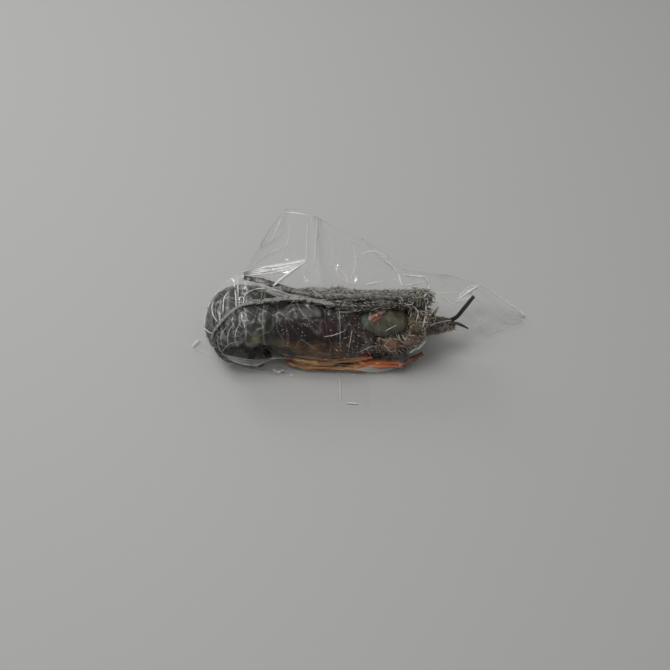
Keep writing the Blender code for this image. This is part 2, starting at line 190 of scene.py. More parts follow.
def on_curve(points, share):
    """Point at a share of a smooth curve that passes through all the points."""
    reach = share * (len(points) - 1)
    index = min(int(reach), len(points) - 2)
    part = reach - index
    before = Vector(points[max(index - 1, 0)])
    start, end = Vector(points[index]), Vector(points[index + 1])
    after = Vector(points[min(index + 2, len(points) - 1)])
    return (
        start * (2 * part**3 - 3 * part**2 + 1)
        + (end - before) / 2 * (part**3 - 2 * part**2 + part)
        + end * (3 * part**2 - 2 * part**3)
        + (after - start) / 2 * (part**3 - part**2)
    )


def step(low, high, value):
    """0 below low, 1 above high, and eased between them."""
    part = min(max((value - low) / (high - low), 0), 1)
    return part * part * (3 - 2 * part)


def ridge(place, sharpness):
    """A ridge pattern from 0 to 1: sharp crests along winding lines."""
    return max(1 - abs(noise.noise(place)) * 2.2, 0) ** sharpness


def blank():
    """An empty shape with a UV map."""
    shape = bmesh.new()
    shape.loops.layers.uv.new("UVMap")
    return shape


def meshed(name, shape):
    """A mesh made from a shape, which is then freed."""
    mesh = bpy.data.meshes.new(name)
    shape.to_mesh(mesh)
    shape.free()
    return mesh


def placed(name, data):
    """An object in the scene, at the origin."""
    made = bpy.data.objects.new(name, data)
    bpy.context.scene.collection.objects.link(made)
    return made


def grid(across, along):
    """A sheet from 0 to 1 each way, with its places kept as its UV map."""
    shape = blank()
    bmesh.ops.create_grid(shape, x_segments=across, y_segments=along, size=0.5, calc_uvs=True)
    bmesh.ops.translate(shape, vec=(0.5, 0.5, 0), verts=shape.verts)
    return shape


def rolled(around, along, place):
    """Closed skin from a sheet rolled up: place(turn, share) gives each point."""
    shape = grid(around, along)
    for vert in shape.verts:
        vert.co = place(2 * math.pi * vert.co.x, vert.co.y)
    bmesh.ops.remove_doubles(shape, verts=shape.verts, dist=0.002)
    bmesh.ops.holes_fill(shape, edges=shape.edges, sides=0)
    bmesh.ops.recalc_face_normals(shape, faces=shape.faces)
    return shape


def measured(route):
    """The points of a route of (point, radius), and its radii by their share of the way."""
    points = [point for point, _ in route]
    radii = [(index / (len(route) - 1), radius) for index, (_, radius) in enumerate(route)]
    return points, radii


def tube(route, sides=12, steps=8, flat=1.0, swell=None):
    """Tapering tube through route, a list of (point, radius). swell(turn, share) scales its radius."""
    points, radii = measured(route)
    count = steps * (len(route) - 1)

    def place(turn, share):
        nudge = 0.5 / count
        centre = on_curve(points, share)
        ahead = on_curve(points, min(share + nudge, 1)) - on_curve(points, max(share - nudge, 0))
        ahead.normalize()
        side = ahead.cross(TUBE_UP)
        side = side.normalized() if side.length > 0.2 else Vector((0, 1, 0))
        rise = side.cross(ahead).normalized()
        radius = between(radii, share)[0] * (swell(turn, share) if swell else 1)
        return centre + side * radius * math.cos(turn) + rise * radius * flat * math.sin(turn)

    return rolled(sides, count, place)


def egg(centre, half, turned=(0, 0, 0), sides=48, rings=32, squareness=1.0):
    """Ellipsoid with the given half sizes, turned about X, Y and Z in degrees. A squareness below 1
    fills out its corners."""

    def place(turn, share):
        fall = math.pi * share
        ball = (math.sin(fall) * math.cos(turn), math.sin(fall) * math.sin(turn), math.cos(fall))
        return Vector([math.copysign(abs(value) ** squareness, value) for value in ball])

    shape = rolled(sides, rings, place)
    turn = Matrix.Identity(4)
    for angle, axis in zip(turned, "XYZ"):
        turn = turn @ Matrix.Rotation(math.radians(angle), 4, axis)
    placed = Matrix.Translation(centre) @ turn @ Matrix.Diagonal((*half, 1))
    bmesh.ops.transform(shape, matrix=placed, verts=shape.verts)
    return shape


def thorn(foot, lean, length, radius):
    """A small thorn that bends a little forward as it rises."""
    lean = Vector(lean).normalized()
    bend = Vector((0.25, 0, 0)) * length
    foot = Vector(foot) - lean * radius
    tip = foot + lean * (length + radius) + bend
    middle = foot + lean * (length * 0.55) + bend * 0.2
    return tube(((foot, radius), (middle, radius * 0.55), (tip, radius * 0.08)), sides=6, steps=2)


def thorns_on(route, first, last, gap, around, length, radius, lean, seed, above=-1.0):
    """Thorns round a tapering tube, between two shares of its length and gap apart. None of them
    points further down than above."""
    draw = random.Random(seed)
    points, radii = measured(route)
    made = []
    share = first
    while share < last:
        centre = on_curve(points, share)
        ahead = (on_curve(points, min(share + 0.01, 1)) - on_curve(points, share - 0.01)).normalized()
        size = between(radii, share)[0]
        for number in range(around):
            turn = 2 * math.pi * (number + draw.random() * 0.8) / around
            out = Matrix.Rotation(turn, 3, ahead) @ ahead.orthogonal().normalized()
            if out.z < above:
                continue
            foot = centre + out * size * 0.92
            tall = draw.uniform(*length)
            made.append(thorn(foot, out + ahead * lean, tall, radius * draw.uniform(0.7, 1.2)))
        share += gap * draw.uniform(0.7, 1.3)
    return made


# How far a bent whisker stands off and reaches aside, at its foot, its two bends and its tip.
WHISKER_ARC = ((0, 0), (0.45, 0.2), (0.5, 0.7), (0.1, 1))


def whiskers(route, count, size, seed):
    """Bent whiskers of frost that stand in small arcs on a tapering tube."""
    draw = random.Random(seed)
    points, radii = measured(route)
    made = []
    for _ in range(count):
        share = draw.random()
        out = Vector((draw.uniform(-0.5, 0.7), draw.uniform(-1, 0.3), draw.uniform(0.1, 1))).normalized()
        side = out.cross(Vector([draw.uniform(-1, 1) for _ in range(3)])).normalized()
        reach = draw.uniform(*size)
        foot = on_curve(points, share) + out * between(radii, share)[0]
        arc = [foot + (out * rise + side * along) * reach for rise, along in WHISKER_ARC]
        made.append(tube([(point, draw.uniform(0.22, 0.38)) for point in arc], sides=6, steps=3))
    return made


def crumbs(surfaces, count, size, seed, within):
    """Loose crumbs of ice frozen to the upward faces of some pieces, where within(place) allows."""
    draw = random.Random(seed)
    faces = []
    for surface in surfaces:
        for face in surface.data.polygons:
            if face.normal.z > 0.1 and within(face.center / MM):
                faces.append((face.center / MM, face.normal.copy()))
    made = []
    for place, normal in draw.sample(faces, min(count, len(faces))):
        crumb = blank()
        bmesh.ops.create_icosphere(crumb, subdivisions=1, radius=draw.uniform(*size))
        for vert in crumb.verts:
            vert.co *= draw.uniform(0.7, 1.25)
        bmesh.ops.translate(crumb, vec=place + normal * 0.1, verts=crumb.verts)
        made.append(crumb)
    return gather(made)


def gather(shapes):
    """One shape that holds all the given ones."""
    whole = blank()
    for shape in shapes:
        part = meshed("part", shape)
        whole.from_mesh(part)
        bpy.data.meshes.remove(part)
    return whole


def roughen(shape, height, size, seed=0.0):
    """Moves a skin in and out by soft noise of the given height and grain."""
    shape.normal_update()
    for vert in shape.verts:
        vert.co += vert.normal * height * noise.noise(vert.co / size + Vector((seed, seed, seed)))
    return shape


def piece(name, shape, material, values=None):
    """A finished piece of the object. values is a list of one number a point, kept as "haze"."""
    bmesh.ops.scale(shape, vec=(MM, MM, MM), verts=shape.verts)
    mesh = meshed(name, shape)
    if values is not None:
        mesh.attributes.new("haze", "FLOAT", "POINT").data.foreach_set("value", values)
    mesh.shade_smooth()
    mesh.materials.append(material)
    made = placed(name, mesh)
    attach(made, BODY)
    return made


def feed(tree, socket, value):
    """Gives a socket a value, or joins another node's output to it."""
    if isinstance(value, bpy.types.NodeSocket):
        tree.links.new(value, socket)
    else:
        socket.default_value = value


def add(tree, kind, inputs=(), **settings):
    """A node with its settings, and its inputs, each a value or another node's output."""
    made = tree.nodes.new(kind)
    for name, value in settings.items():
        setattr(made, name, value)
    for name, value in dict(inputs).items():
        feed(tree, made.inputs[name], value)
    return made


def colour(value):
    """A colour with full alpha from three numbers, or a socket as it is."""
    return value if isinstance(value, bpy.types.NodeSocket) else (*value, 1)


def mixed(tree, share, first, second):
    """The first colour at a share of 0, and the second at 1."""
    inputs = {0: share, 6: colour(first), 7: colour(second)}
    return add(tree, "ShaderNodeMix", inputs, data_type="RGBA").outputs[2]


def sums(tree, operation, first, second=0.0, clamp=False):
    """One sum of two values."""
    given = {0: first, 1: second}
    return add(tree, "ShaderNodeMath", given, operation=operation, use_clamp=clamp).outputs[0]


def span(tree, value, low, high, to_low=0.0, to_high=1.0):
    """Eases a value from to_low at low to to_high at high."""
    given = {"Value": value, "From Min": low, "From Max": high, "To Min": to_low, "To Max": to_high}
    return add(tree, "ShaderNodeMapRange", given, interpolation_type="SMOOTHSTEP").outputs["Result"]


def uv_map(tree):
    """The place on a piece's own skin, from 0 to 1 both ways."""
    return tree.nodes.new("ShaderNodeUVMap").outputs["UV"]


def along_axis(tree, vector, axis):
    """One coordinate of a vector."""
    return add(tree, "ShaderNodeSeparateXYZ", {0: vector}).outputs[axis]


def in_millimetres(tree, stretch=(1, 1, 1)):
    """Object coordinates in millimetres, stretched along the axes."""
    place = tree.nodes.new("ShaderNodeTexCoord").outputs["Object"]
    scale = [factor / MM for factor in stretch]
    return add(tree, "ShaderNodeMapping", {"Vector": place, "Scale": scale}).outputs["Vector"]


def clouds(tree, scale, detail, rough=0.5, distortion=0.0):
    """Noise over the model's own coordinates, with so many features a millimetre."""
    names = ("Vector", "Scale", "Detail", "Roughness", "Distortion")
    values = (in_millimetres(tree), scale, detail, rough, distortion)
    return add(tree, "ShaderNodeTexNoise", dict(zip(names, values))).outputs["Fac"]


def grain(tree, size, detail=3.0):
    """Noise with features of the given size in millimetres, about 0 to 1."""
    return clouds(tree, 1 / size, detail, rough=0.55)


def new_group(name, inputs, outputs):
    """An empty node group with its sockets, each (name, type, value)."""
    tree = bpy.data.node_groups.new(name, "ShaderNodeTree")
    for label, kind, value in inputs:
        socket = tree.interface.new_socket(name=label, in_out="INPUT", socket_type=kind)
        socket.default_value = value
    for label, kind in outputs:
        tree.interface.new_socket(name=label, in_out="OUTPUT", socket_type=kind)
    return tree, tree.nodes.new("NodeGroupInput").outputs, tree.nodes.new("NodeGroupOutput").inputs


COLOUR, NUMBER = "NodeSocketColor", "NodeSocketFloat"


def frost_group():
    """Frost and ice film over a shell colour: more of it on faces that look up."""
    tree, given, out = new_group(
        "frost",
        [
            ("Colour", COLOUR, (0, 0, 0, 1)),
            ("Frost", COLOUR, (0.34, 0.34, 0.32, 1)),
            ("Amount", NUMBER, 0.5),
            ("Size", NUMBER, 4.0),
            ("Gloss", NUMBER, 0.3),
            ("From", NUMBER, -0.3),
        ],
        [("Colour", COLOUR), ("Roughness", NUMBER), ("Height", NUMBER)],
    )
    finer = clouds(tree, 1.1, 4.0)
    patches = clouds(tree, sums(tree, "DIVIDE", 1.0, given["Size"]), 5.0, rough=0.65)
    up = along_axis(tree, tree.nodes.new("ShaderNodeNewGeometry").outputs["Normal"], "Z")
    lying = span(tree, up, given["From"], 0.85, 0.05, 1.0)
    level = sums(tree, "SUBTRACT", 1.0, given["Amount"])
    cover = sums(tree, "SUBTRACT", patches, sums(tree, "MULTIPLY", level, 0.7))
    cover = sums(tree, "MULTIPLY", cover, 4.0, clamp=True)
    specks = sums(tree, "MULTIPLY", span(tree, finer, 0.48, 0.66), cover, clamp=True)
    soft = sums(tree, "MULTIPLY", cover, 0.45)
    both = sums(tree, "ADD", soft, sums(tree, "MULTIPLY", specks, 0.55))
    mask = sums(tree, "MULTIPLY", both, lying, clamp=True)
    tree.links.new(mixed(tree, mask, given["Colour"], given["Frost"]), out["Colour"])
    tree.links.new(sums(tree, "ADD", given["Gloss"], sums(tree, "MULTIPLY", mask, 0.35)), out["Roughness"])
    tree.links.new(mask, out["Height"])
    return tree


def mottle_group():
    """Two colours mottled in each other, with small pale dots."""
    tree, given, out = new_group(
        "mottle",
        [
            ("First", COLOUR, (0, 0, 0, 1)),
            ("Second", COLOUR, (0, 0, 0, 1)),
            ("Dots", COLOUR, (0, 0, 0, 1)),
            ("Size", NUMBER, 4.0),
            ("Dot Size", NUMBER, 2.0),
            ("Dot Share", NUMBER, 0.2),
        ],
        [("Colour", COLOUR), ("Height", NUMBER)],
    )
    soft = clouds(tree, sums(tree, "DIVIDE", 1.0, given["Size"]), 6.0, rough=0.62, distortion=0.6)
    both = mixed(tree, span(tree, soft, 0.38, 0.62), given["First"], given["Second"])
    dotted = {"Vector": in_millimetres(tree), "Scale": sums(tree, "DIVIDE", 1.0, given["Dot Size"])}
    away = add(tree, "ShaderNodeTexVoronoi", dotted).outputs["Distance"]
    near = sums(tree, "SUBTRACT", given["Dot Share"], away)
    dot = sums(tree, "MULTIPLY", near, 8.0, clamp=True)
    tree.links.new(mixed(tree, dot, both, given["Dots"]), out["Colour"])
    tree.links.new(sums(tree, "ADD", soft, dot), out["Height"])
    return tree


def placed_group(tree, group, inputs):
    """The outputs of a node group, with its inputs fed."""
    return add(tree, "ShaderNodeGroup", inputs, node_tree=group).outputs


def new_material(name, gloss, coat=0.0, sheen=0.5):
    """A material, its node tree and its shader, with a roughness, a coat and a highlight."""
    made = bpy.data.materials.new(name)
    made.use_nodes = True
    surface = made.node_tree.nodes["Principled BSDF"]
    surface.inputs["Roughness"].default_value = gloss
    surface.inputs["Coat Weight"].default_value = coat
    surface.inputs["Coat Roughness"].default_value = 0.12
    surface.inputs["Specular IOR Level"].default_value = sheen
    return made, made.node_tree, surface


def bumped(tree, surface, height, strength, distance):
    """Feeds a height, so many millimetres deep, into the shader's normal."""
    bump = add(tree, "ShaderNodeBump", {"Height": height, "Strength": strength, "Distance": distance * MM})
    tree.links.new(bump.outputs["Normal"], surface.inputs["Normal"])


FROST = frost_group()
MOTTLE = mottle_group()


def mottled(tree, first, second, dots, size, dot_size, dot_share):
    """Two colours mottled in each other, with small pale dots: the colour, and its height."""
    names = ("First", "Second", "Dots", "Size", "Dot Size", "Dot Share")
    values = (colour(first), colour(second), colour(dots), size, dot_size, dot_share)
    return placed_group(tree, MOTTLE, dict(zip(names, values)))


def frosted(tree, surface, base, height, amount, size, gloss, bump, start=-0.3, white=0.34):
    """Puts frost over a base colour and feeds the shader with colour, roughness and normal."""
    names = ("Colour", "Frost", "Amount", "Size", "Gloss", "From")
    values = (base, (white, white, white * 0.95, 1), amount, size, gloss, start)
    frost = placed_group(tree, FROST, dict(zip(names, values)))
    tree.links.new(frost["Colour"], surface.inputs["Base Color"])
    tree.links.new(frost["Roughness"], surface.inputs["Roughness"])
    bumped(tree, surface, sums(tree, "ADD", frost["Height"], height), 0.6, bump)


def patched(tree, base, patches):
    """A base colour with ragged patches of others, each given by its colour, centre and half sizes."""
    for shade, centre, half in patches:
        stretch = [1 / size for size in half]
        squeezed = [place * factor for place, factor in zip(centre, stretch)]
        places = {0: in_millimetres(tree, stretch), 1: squeezed}
        away = add(tree, "ShaderNodeVectorMath", places, operation="DISTANCE").outputs["Value"]
        uneven = sums(tree, "ADD", away, grain(tree, 4, detail=5))
        base = mixed(tree, span(tree, uneven, 1.85, 1.2), base, shade)
    return base


# Ragged patches on the pieces: colour, centre and half sizes. The near-black ones in the curl of the tail
# are painted shade.
SHELL_PATCHES = (
    ((0.034, 0.010, 0.012), (-5, -20, 50), (10, 7, 6)),
    ((0.075, 0.066, 0.025), (-46, -24, 36), (5, 6, 6)),
    ((0.060, 0.050, 0.018), (32, -24, 46), (7, 6, 6)),
    # painted shade: near black on the shell's rear flank, in the shade of the tail's curl
    ((0.003, 0.0025, 0.002), (-42, -23, 24), (15, 9, 8)),
)
TAIL_PATCHES = (
    ((0.19, 0.175, 0.085), (-62, -22, 42), (3.5, 5, 7)),
    # painted shade: near black in the shaded hollow of the tail's curl
    ((0.003, 0.003, 0.002), (-60, -24, 24), (22, 9, 9)),
)
LEG_PATCHES = (((0.10, 0.020, 0.010), (-38, -24, 13), (6, 5, 5)),)
JOINT_PATCHES = (
    ((0.25, 0.095, 0.030), (46, -24, 34), (8, 7, 7)),
    ((0.20, 0.095, 0.055), (61, -21, 37), (7, 5, 5)),
    ((0.15, 0.128, 0.05), (64, -12, 46), (6, 5, 5)),
    ((0.40, 0.07, 0.016), (69, -9, 22), (10, 7, 5)),
)
LUMP_PATCHES = (((0.12, 0.14, 0.13), (20, -14, 48), (6, 9, 9)),)


def carapace_material():
    """Maroon to near black above, a brown-orange band low on the flank, purple-brown in front."""
    made, tree, surface = new_material("back_shell", 0.45, 0.05, sheen=0.3)
    place = in_millimetres(tree)
    black, brown, dots = (0.006, 0.0045, 0.004), (0.018, 0.009, 0.008), (0.10, 0.085, 0.065)
    dark = mottled(tree, black, brown, dots, 9.0, 5.0, 0.08)
    low = mottled(tree, (0.040, 0.018, 0.007), (0.145, 0.055, 0.014), (0.34, 0.22, 0.10), 5.0, 3.6, 0.13)
    front = mottled(tree, (0.009, 0.006, 0.006), (0.055, 0.028, 0.026), (0.34, 0.28, 0.21), 3.6, 3.0, 0.22)
    wander = sums(tree, "MULTIPLY", sums(tree, "SUBTRACT", grain(tree, 9), 0.5), 12.0)
    height = sums(tree, "ADD", along_axis(tree, place, "Z"), wander)
    base = mixed(tree, span(tree, height, 44, 36), dark["Colour"], low["Colour"])
    ahead = sums(tree, "ADD", along_axis(tree, place, "X"), wander)
    base = mixed(tree, span(tree, ahead, 2, 14), base, front["Colour"])
    base = patched(tree, base, SHELL_PATCHES)
    rough = sums(tree, "MULTIPLY", dark["Height"], 0.6)
    frosted(tree, surface, base, rough, 0.14, 7.0, 0.45, 0.45)
    return made


def tail_material():
    """Grey-brown rings with pale bands at their edges."""
    made, tree, surface = new_material("tail_shell", 0.42, 0.05, sheen=0.3)
    base = mottled(tree, (0.010, 0.010, 0.008), (0.034, 0.033, 0.027), (0.15, 0.145, 0.12), 4.0, 3.4, 0.16)
    edge = span(tree, along_axis(tree, uv_map(tree), "Y"), 0.80, 0.93)
    banded = mixed(tree, sums(tree, "MULTIPLY", edge, 0.6), base["Colour"], (0.19, 0.185, 0.155))
    shade = patched(tree, banded, TAIL_PATCHES)
    frosted(tree, surface, shade, base["Height"], 0.17, 4.0, 0.42, 0.4)
    return made


# The stripes along the legs: where each colour lies in the noise.
LEG_STRIPES = (
    (0.38, (0.010, 0.006, 0.004)),
    (0.42, (0.20, 0.065, 0.016)),
    (0.49, (0.46, 0.190, 0.042)),
    (0.54, (0.70, 0.45, 0.19)),
    (0.58, (0.40, 0.150, 0.032)),
    (0.65, (0.020, 0.010, 0.006)),
)


def leg_material():
    """Yellow and orange stripes along each leg, with dark seams."""
    made, tree, surface = new_material("leg_shell", 0.32, 0.3)
    stretched = add(tree, "ShaderNodeMapping", {"Vector": uv_map(tree), "Scale": (8, 1.6, 1)}).outputs[0]
    stripes = add(
        tree, "ShaderNodeTexNoise", {"Vector": stretched, "Scale": 1.6, "Detail": 4.0, "Distortion": 0.3}
    ).outputs["Fac"]
    ramp = add(tree, "ShaderNodeValToRGB", {"Fac": stripes})
    while len(ramp.color_ramp.elements) < len(LEG_STRIPES):
        ramp.color_ramp.elements.new(0.5)
    for element, (at, shade) in zip(ramp.color_ramp.elements, LEG_STRIPES):
        element.position = at
        element.color = (*shade, 1)
    ahead = along_axis(tree, in_millimetres(tree), "X")
    unseamed = span(tree, stripes, 0.40, 0.47, 0.1, 0.66)
    red_share = sums(tree, "MULTIPLY", span(tree, ahead, 14, 26), unseamed)
    shade = mixed(tree, red_share, ramp.outputs["Color"], (0.72, 0.140, 0.030))
    brown_share = sums(tree, "MULTIPLY", span(tree, ahead, 52, 57), 0.8)
    shade = mixed(tree, brown_share, shade, (0.060, 0.030, 0.016))
    shade = patched(tree, shade, LEG_PATCHES)
    frosted(tree, surface, shade, stripes, 0.12, 3.0, 0.3, 0.2)
    return made


def joint_material():
    """Yellow-brown, black and cream speckle of the spiny base joints."""
    made, tree, surface = new_material("joint_shell", 0.35, 0.25)
    base = mottled(tree, (0.004, 0.003, 0.003), (0.085, 0.045, 0.018), (0.34, 0.29, 0.17), 4.0, 3.0, 0.20)
    shade = patched(tree, base["Colour"], JOINT_PATCHES)
    frosted(tree, surface, shade, base["Height"], 0.12, 2.5, 0.35, 0.5)
    return made


def thorn_material():
    """Thorns, dark at the foot and cream at the tip."""
    made, tree, surface = new_material("thorn", 0.35, 0.2)
    along = along_axis(tree, uv_map(tree), "Y")
    foot = mixed(tree, grain(tree, 6), (0.008, 0.005, 0.004), (0.06, 0.030, 0.015))
    tips = mixed(tree, span(tree, grain(tree, 5), 0.40, 0.60), (0.42, 0.36, 0.28), (0.24, 0.19, 0.12))
    shade = mixed(tree, span(tree, along, 0.30, 0.75), foot, tips)
    frosted(tree, surface, shade, grain(tree, 1.0), 0.12, 2.5, 0.35, 0.1)
    return made


def antenna_material(name, frost_along, start, white=0.34):
    """Near-black ringed horn with cream flecks. frost_along is a span along the model, with the
    amount of frost at each end of it."""
    made, tree, surface = new_material(name, 0.45)
    ahead = along_axis(tree, in_millimetres(tree), "X")
    frost = span(tree, ahead, *frost_along)
    base = mottled(tree, (0.005, 0.004, 0.003), (0.040, 0.030, 0.016), (0.38, 0.32, 0.19), 2.2, 2.8, 0.21)
    frosted(tree, surface, base["Colour"], base["Height"], frost, 2.6, 0.45, 0.4, start, white)
    return made


def lump_material():
    """Smooth glaze over the horn: grey-olive and a little milky."""
    made, tree, surface = new_material("glaze", 0.30, 0.15)
    soft = grain(tree, 9, detail=2)
    base = mixed(tree, span(tree, soft, 0.35, 0.65), (0.040, 0.035, 0.019), (0.092, 0.080, 0.046))
    base = patched(tree, base, LUMP_PATCHES)
    tree.links.new(base, surface.inputs["Base Color"])
    surface.inputs["Subsurface Weight"].default_value = 0.15
    surface.inputs["Subsurface Radius"].default_value = (0.004, 0.004, 0.003)
    bumped(tree, surface, soft, 0.3, 0.5)
    return made


def plain_shell(name, first, second, gloss=0.35, frost=0.2, size=3.0):
    """A shell colour with soft mottling, for the small pieces."""
    made, tree, surface = new_material(name, gloss, 0.3)
    base = mixed(tree, span(tree, grain(tree, size, detail=5), 0.38, 0.62), first, second)
    frosted(tree, surface, base, grain(tree, 0.8), frost, size, gloss, 0.2)
    return made


def film_material(name, least=0.01, shine=0.6, metal=0.4, white=0.82, gloss=0.14):
    """Clear glossy film: it shows more at a slant, and its haze attribute whitens it: milkiness where it
    folds or frost lies under it, and painted highlight along folds, creases and glints.
    """
    made, tree, surface = new_material(name, gloss)
    surface.inputs["Base Color"].default_value = (white, white, white * 0.98, 1)
    surface.inputs["Metallic"].default_value = metal
    # the haze attribute: the film's milkiness, and painted highlight on its folds and creases
    haze = add(tree, "ShaderNodeAttribute", attribute_name="haze", attribute_type="GEOMETRY").outputs["Fac"]
    slant = add(tree, "ShaderNodeLayerWeight", {"Blend": 0.5}).outputs["Facing"]
    mirror = sums(tree, "MULTIPLY", sums(tree, "POWER", slant, 5.5), shine)
    seen = sums(tree, "ADD", mirror, sums(tree, "ADD", haze, least))
    tree.links.new(sums(tree, "MINIMUM", seen, 0.95), surface.inputs["Alpha"])
    bumped(tree, surface, grain(tree, 3.5, detail=4), 0.3, 0.4)
    return made


def carapace_point(angle, share):
    """Point on the back shell at an angle round it and a share of its length."""
    half, top, bottom = between(CARAPACE_SECTIONS, share)
    cosine, sine = math.cos(angle), math.sin(angle)
    across = math.copysign(abs(cosine) ** 0.88, cosine)
    up = math.copysign(abs(sine) ** 0.88, sine)
    above = step(-0.6, -0.2, up)
    groove = math.exp(-(((share - GROOVE_AT) / 0.016) ** 2)) * above
    rim = math.exp(-(((share - 0.045) / 0.012) ** 2)) * above
    sweep = GROOVE_SWEEP * (1 - up) / 2 * math.sin(math.pi * share) ** 2
    squeeze = 1 - (groove * GROOVE_DEPTH + rim * 1.2) / half
    middle, rise = (top + bottom) / 2, (top - bottom) / 2
    x = CARAPACE_REAR + CARAPACE_LENGTH * share + sweep
    return Vector((x, half * across * squeeze, middle + rise * up * squeeze))


def carapace():
    """The back shell with its groove and its low warts."""
    shell = rolled(168, 120, carapace_point)
    shell.normal_update()
    for vert in shell.verts:
        ahead = step(-10, 10, vert.co.x)
        size = 3.6 - 1.0 * ahead
        nearest = noise.voronoi(vert.co / size)[0][0]
        wart = max(1 - nearest / 0.42, 0) ** 1.5
        crack = ridge(vert.co / 11 + Vector((0, 0, 4.1)), 16) * step(38, 46, vert.co.z)
        bumps = wart * (0.35 + 0.75 * ahead) + 0.6 * noise.noise(vert.co / 9)
        vert.co += vert.normal * (bumps - 0.9 * crack)
    return shell


def carapace_thorns():
    """Thorns that point forward on the front half of the back shell."""
    draw = random.Random(4)
    thorns = []
    for share in (0.50, 0.56, 0.61, 0.66, 0.71, 0.76, 0.81, 0.86, 0.91, 0.96):
        for angle in range(-14, 200, 16):
            turn = math.radians(angle + draw.uniform(-6, 6))
            foot = carapace_point(turn, share + draw.uniform(-0.02, 0.02))
            _, top, bottom = between(CARAPACE_SECTIONS, share)
            out = (foot - Vector((foot.x, 0, (top + bottom) / 2))).normalized()
            big = draw.random() < 0.3
            length = draw.uniform(2.2, 3.6) if big else draw.uniform(0.8, 1.6)
            thorns.append(thorn(foot, out + Vector((0.5, 0, 0)), length, 1.2 if big else 0.9))
    return thorns


def back_line(distance):
    """Point on the tail's back and the way in from it, at a distance behind the shell."""
    if distance < TAIL_STRAIGHT:
        share = distance / TAIL_STRAIGHT
        height = TAIL_JOINT_HEIGHT + (2 * CURL_RADIUS - TAIL_JOINT_HEIGHT) * math.sin(share * math.pi / 2)
        return Vector((TAIL_START - distance, 0, height)), Vector((0, 0, -1))
    angle = (distance - TAIL_STRAIGHT) / CURL_RADIUS
    forward = max(angle - math.pi, 0) * CURL_RADIUS
    angle = min(angle, math.pi)
    inward = Vector((math.sin(angle), 0, -math.cos(angle)))
    return CURL_CENTRE - inward * CURL_RADIUS + Vector((forward, 0, 0)), inward


def tail_ring(number):
    """One ring of the tail: a raised rear lip, and a shallow groove across it."""
    start, end = TAIL_RINGS_AT[number], TAIL_RINGS_AT[number + 1]

    def place(turn, share):
        lip = SHELL_LIP * share**1.5 - 0.5 * math.exp(-(((share - 0.4) / 0.08) ** 2))
        point, inward = back_line(start - 1.5 + (end - start + 3) * share)
        half = TAIL_HALF_WIDTH[number] + (TAIL_HALF_WIDTH[number + 1] - TAIL_HALF_WIDTH[number]) * share
        depth = TAIL_DEPTH[number] + (TAIL_DEPTH[number + 1] - TAIL_DEPTH[number]) * share
        cosine, sine = math.cos(turn), math.sin(turn)
        across = math.copysign(abs(cosine) ** 0.8, cosine)
        up = math.copysign(abs(sine) ** 0.8, sine)
        inset = depth / 2 * (1 - up) - lip * max(up, 0)
        return point + inward * inset + Vector((0, (half + lip - SHELL_LIP) * across, 0))

    return roughen(rolled(96, 16, place), 0.25, 5, seed=number)


def side_lobe(number, side):
    """The pointed flap at one side of a tail ring, which hangs in towards the curl."""
    distance = (TAIL_RINGS_AT[number] + TAIL_RINGS_AT[number + 1]) / 2
    half = TAIL_HALF_WIDTH[number] - 2.5
    route = []
    for share, radius in ((0.35, 6.5), (0.70, 5.5), (1.0, 3.0), (1.12, 0.6)):
        point, inward = back_line(distance + 6 * share)
        sideways = Vector((0, side * (half + 1.5 * share), 0))
        route.append((point + inward * TAIL_DEPTH[number] * share + sideways, radius))
    lobe = tube(route, sides=20, steps=6)
    middle = side * half
    for vert in lobe.verts:
        vert.co.y = middle + (vert.co.y - middle) * 0.45
    return roughen(lobe, 0.5, 3, seed=number)


def fan_lobe(start, end, start_side, end_side, half):
    """One lobe of the tail fan, a thin rounded blade with fine rays along it."""

    def place(turn, share):
        point, inward = back_line(start + (end - start) * share)
        width = half * (0.55 + 0.45 * math.sin(math.pi * share * 0.75))
        width *= math.sqrt(max(1 - max(share - 0.7, 0) ** 2 / 0.1, 0.02))
        sideways = start_side + (end_side - start_side) * share + width * math.cos(turn)
        rays = 0.22 * math.sin(40 * turn) * step(0.3, 0.6, share)
        inset = 0.4 + (FAN_THICKNESS + rays) * (1 + math.sin(turn)) / 2
        return point + inward * inset + Vector((0, sideways, 0))

    return rolled(120, 40, place)


def mirrored(route):
    """The same route on the other side of the body."""
    return [(Vector((point[0], -point[1], point[2])), radius) for point, radius in route]


def leg(route, seed):
    """A walking leg, a little thicker at its joints."""
    joints = len(route) - 1

    def swell(turn, share):
        return 1 + 0.16 * math.cos(2 * math.pi * share * joints) ** 8

    slimmer = [(point, radius * LEG_SLIMNESS) for point, radius in route]
    return roughen(tube(slimmer, sides=18, steps=14, swell=swell), 0.45, 2.5, seed)


def legs(side):
    """The folded legs of one side. The near ones mirror LEGS, and the far ones lie a little aside."""
    made = []
    for number, (places, radii) in enumerate(LEGS):
        if side > 0:
            moved = [((x - 2, y - 1, z + 0.6), radius) for (x, y, z), radius in zip(places, radii)]
        else:
            moved = mirrored(zip(places, radii))
        made.append(leg(moved, number + 3.7))
    return gather(made)


def ringed(pitch_count, depth):
    """Fine rings along an antenna, as a change of its radius."""

    def swell(turn, share):
        return 1 + depth * math.sin(2 * math.pi * share * pitch_count) + 0.05 * math.sin(3 * turn)

    return swell


def antenna(route, rings, seed):
    """A whip with fine rings."""
    return roughen(tube(route, sides=16, steps=26, swell=ringed(rings, 0.045)), 0.35, 1.7, seed)


def base_route(side):
    """The route of one antenna's thick base joints. The near one lies lower."""
    return [((x, side * y, z if side > 0 else z - 3), radius) for (x, y, z), radius in BASE_JOINTS]


def knobbly(route, seed):
    """A thick uneven joint."""

    def swell(turn, share):
        return 1 - 0.16 * math.exp(-(((share * 3) % 1 - 0.5) / 0.12) ** 2) + 0.04 * math.sin(5 * turn)

    return roughen(tube(route, sides=48, steps=20, swell=swell), 1.7, 3.2, seed)


NEAR_BASE, FAR_BASE = base_route(-1), base_route(1)

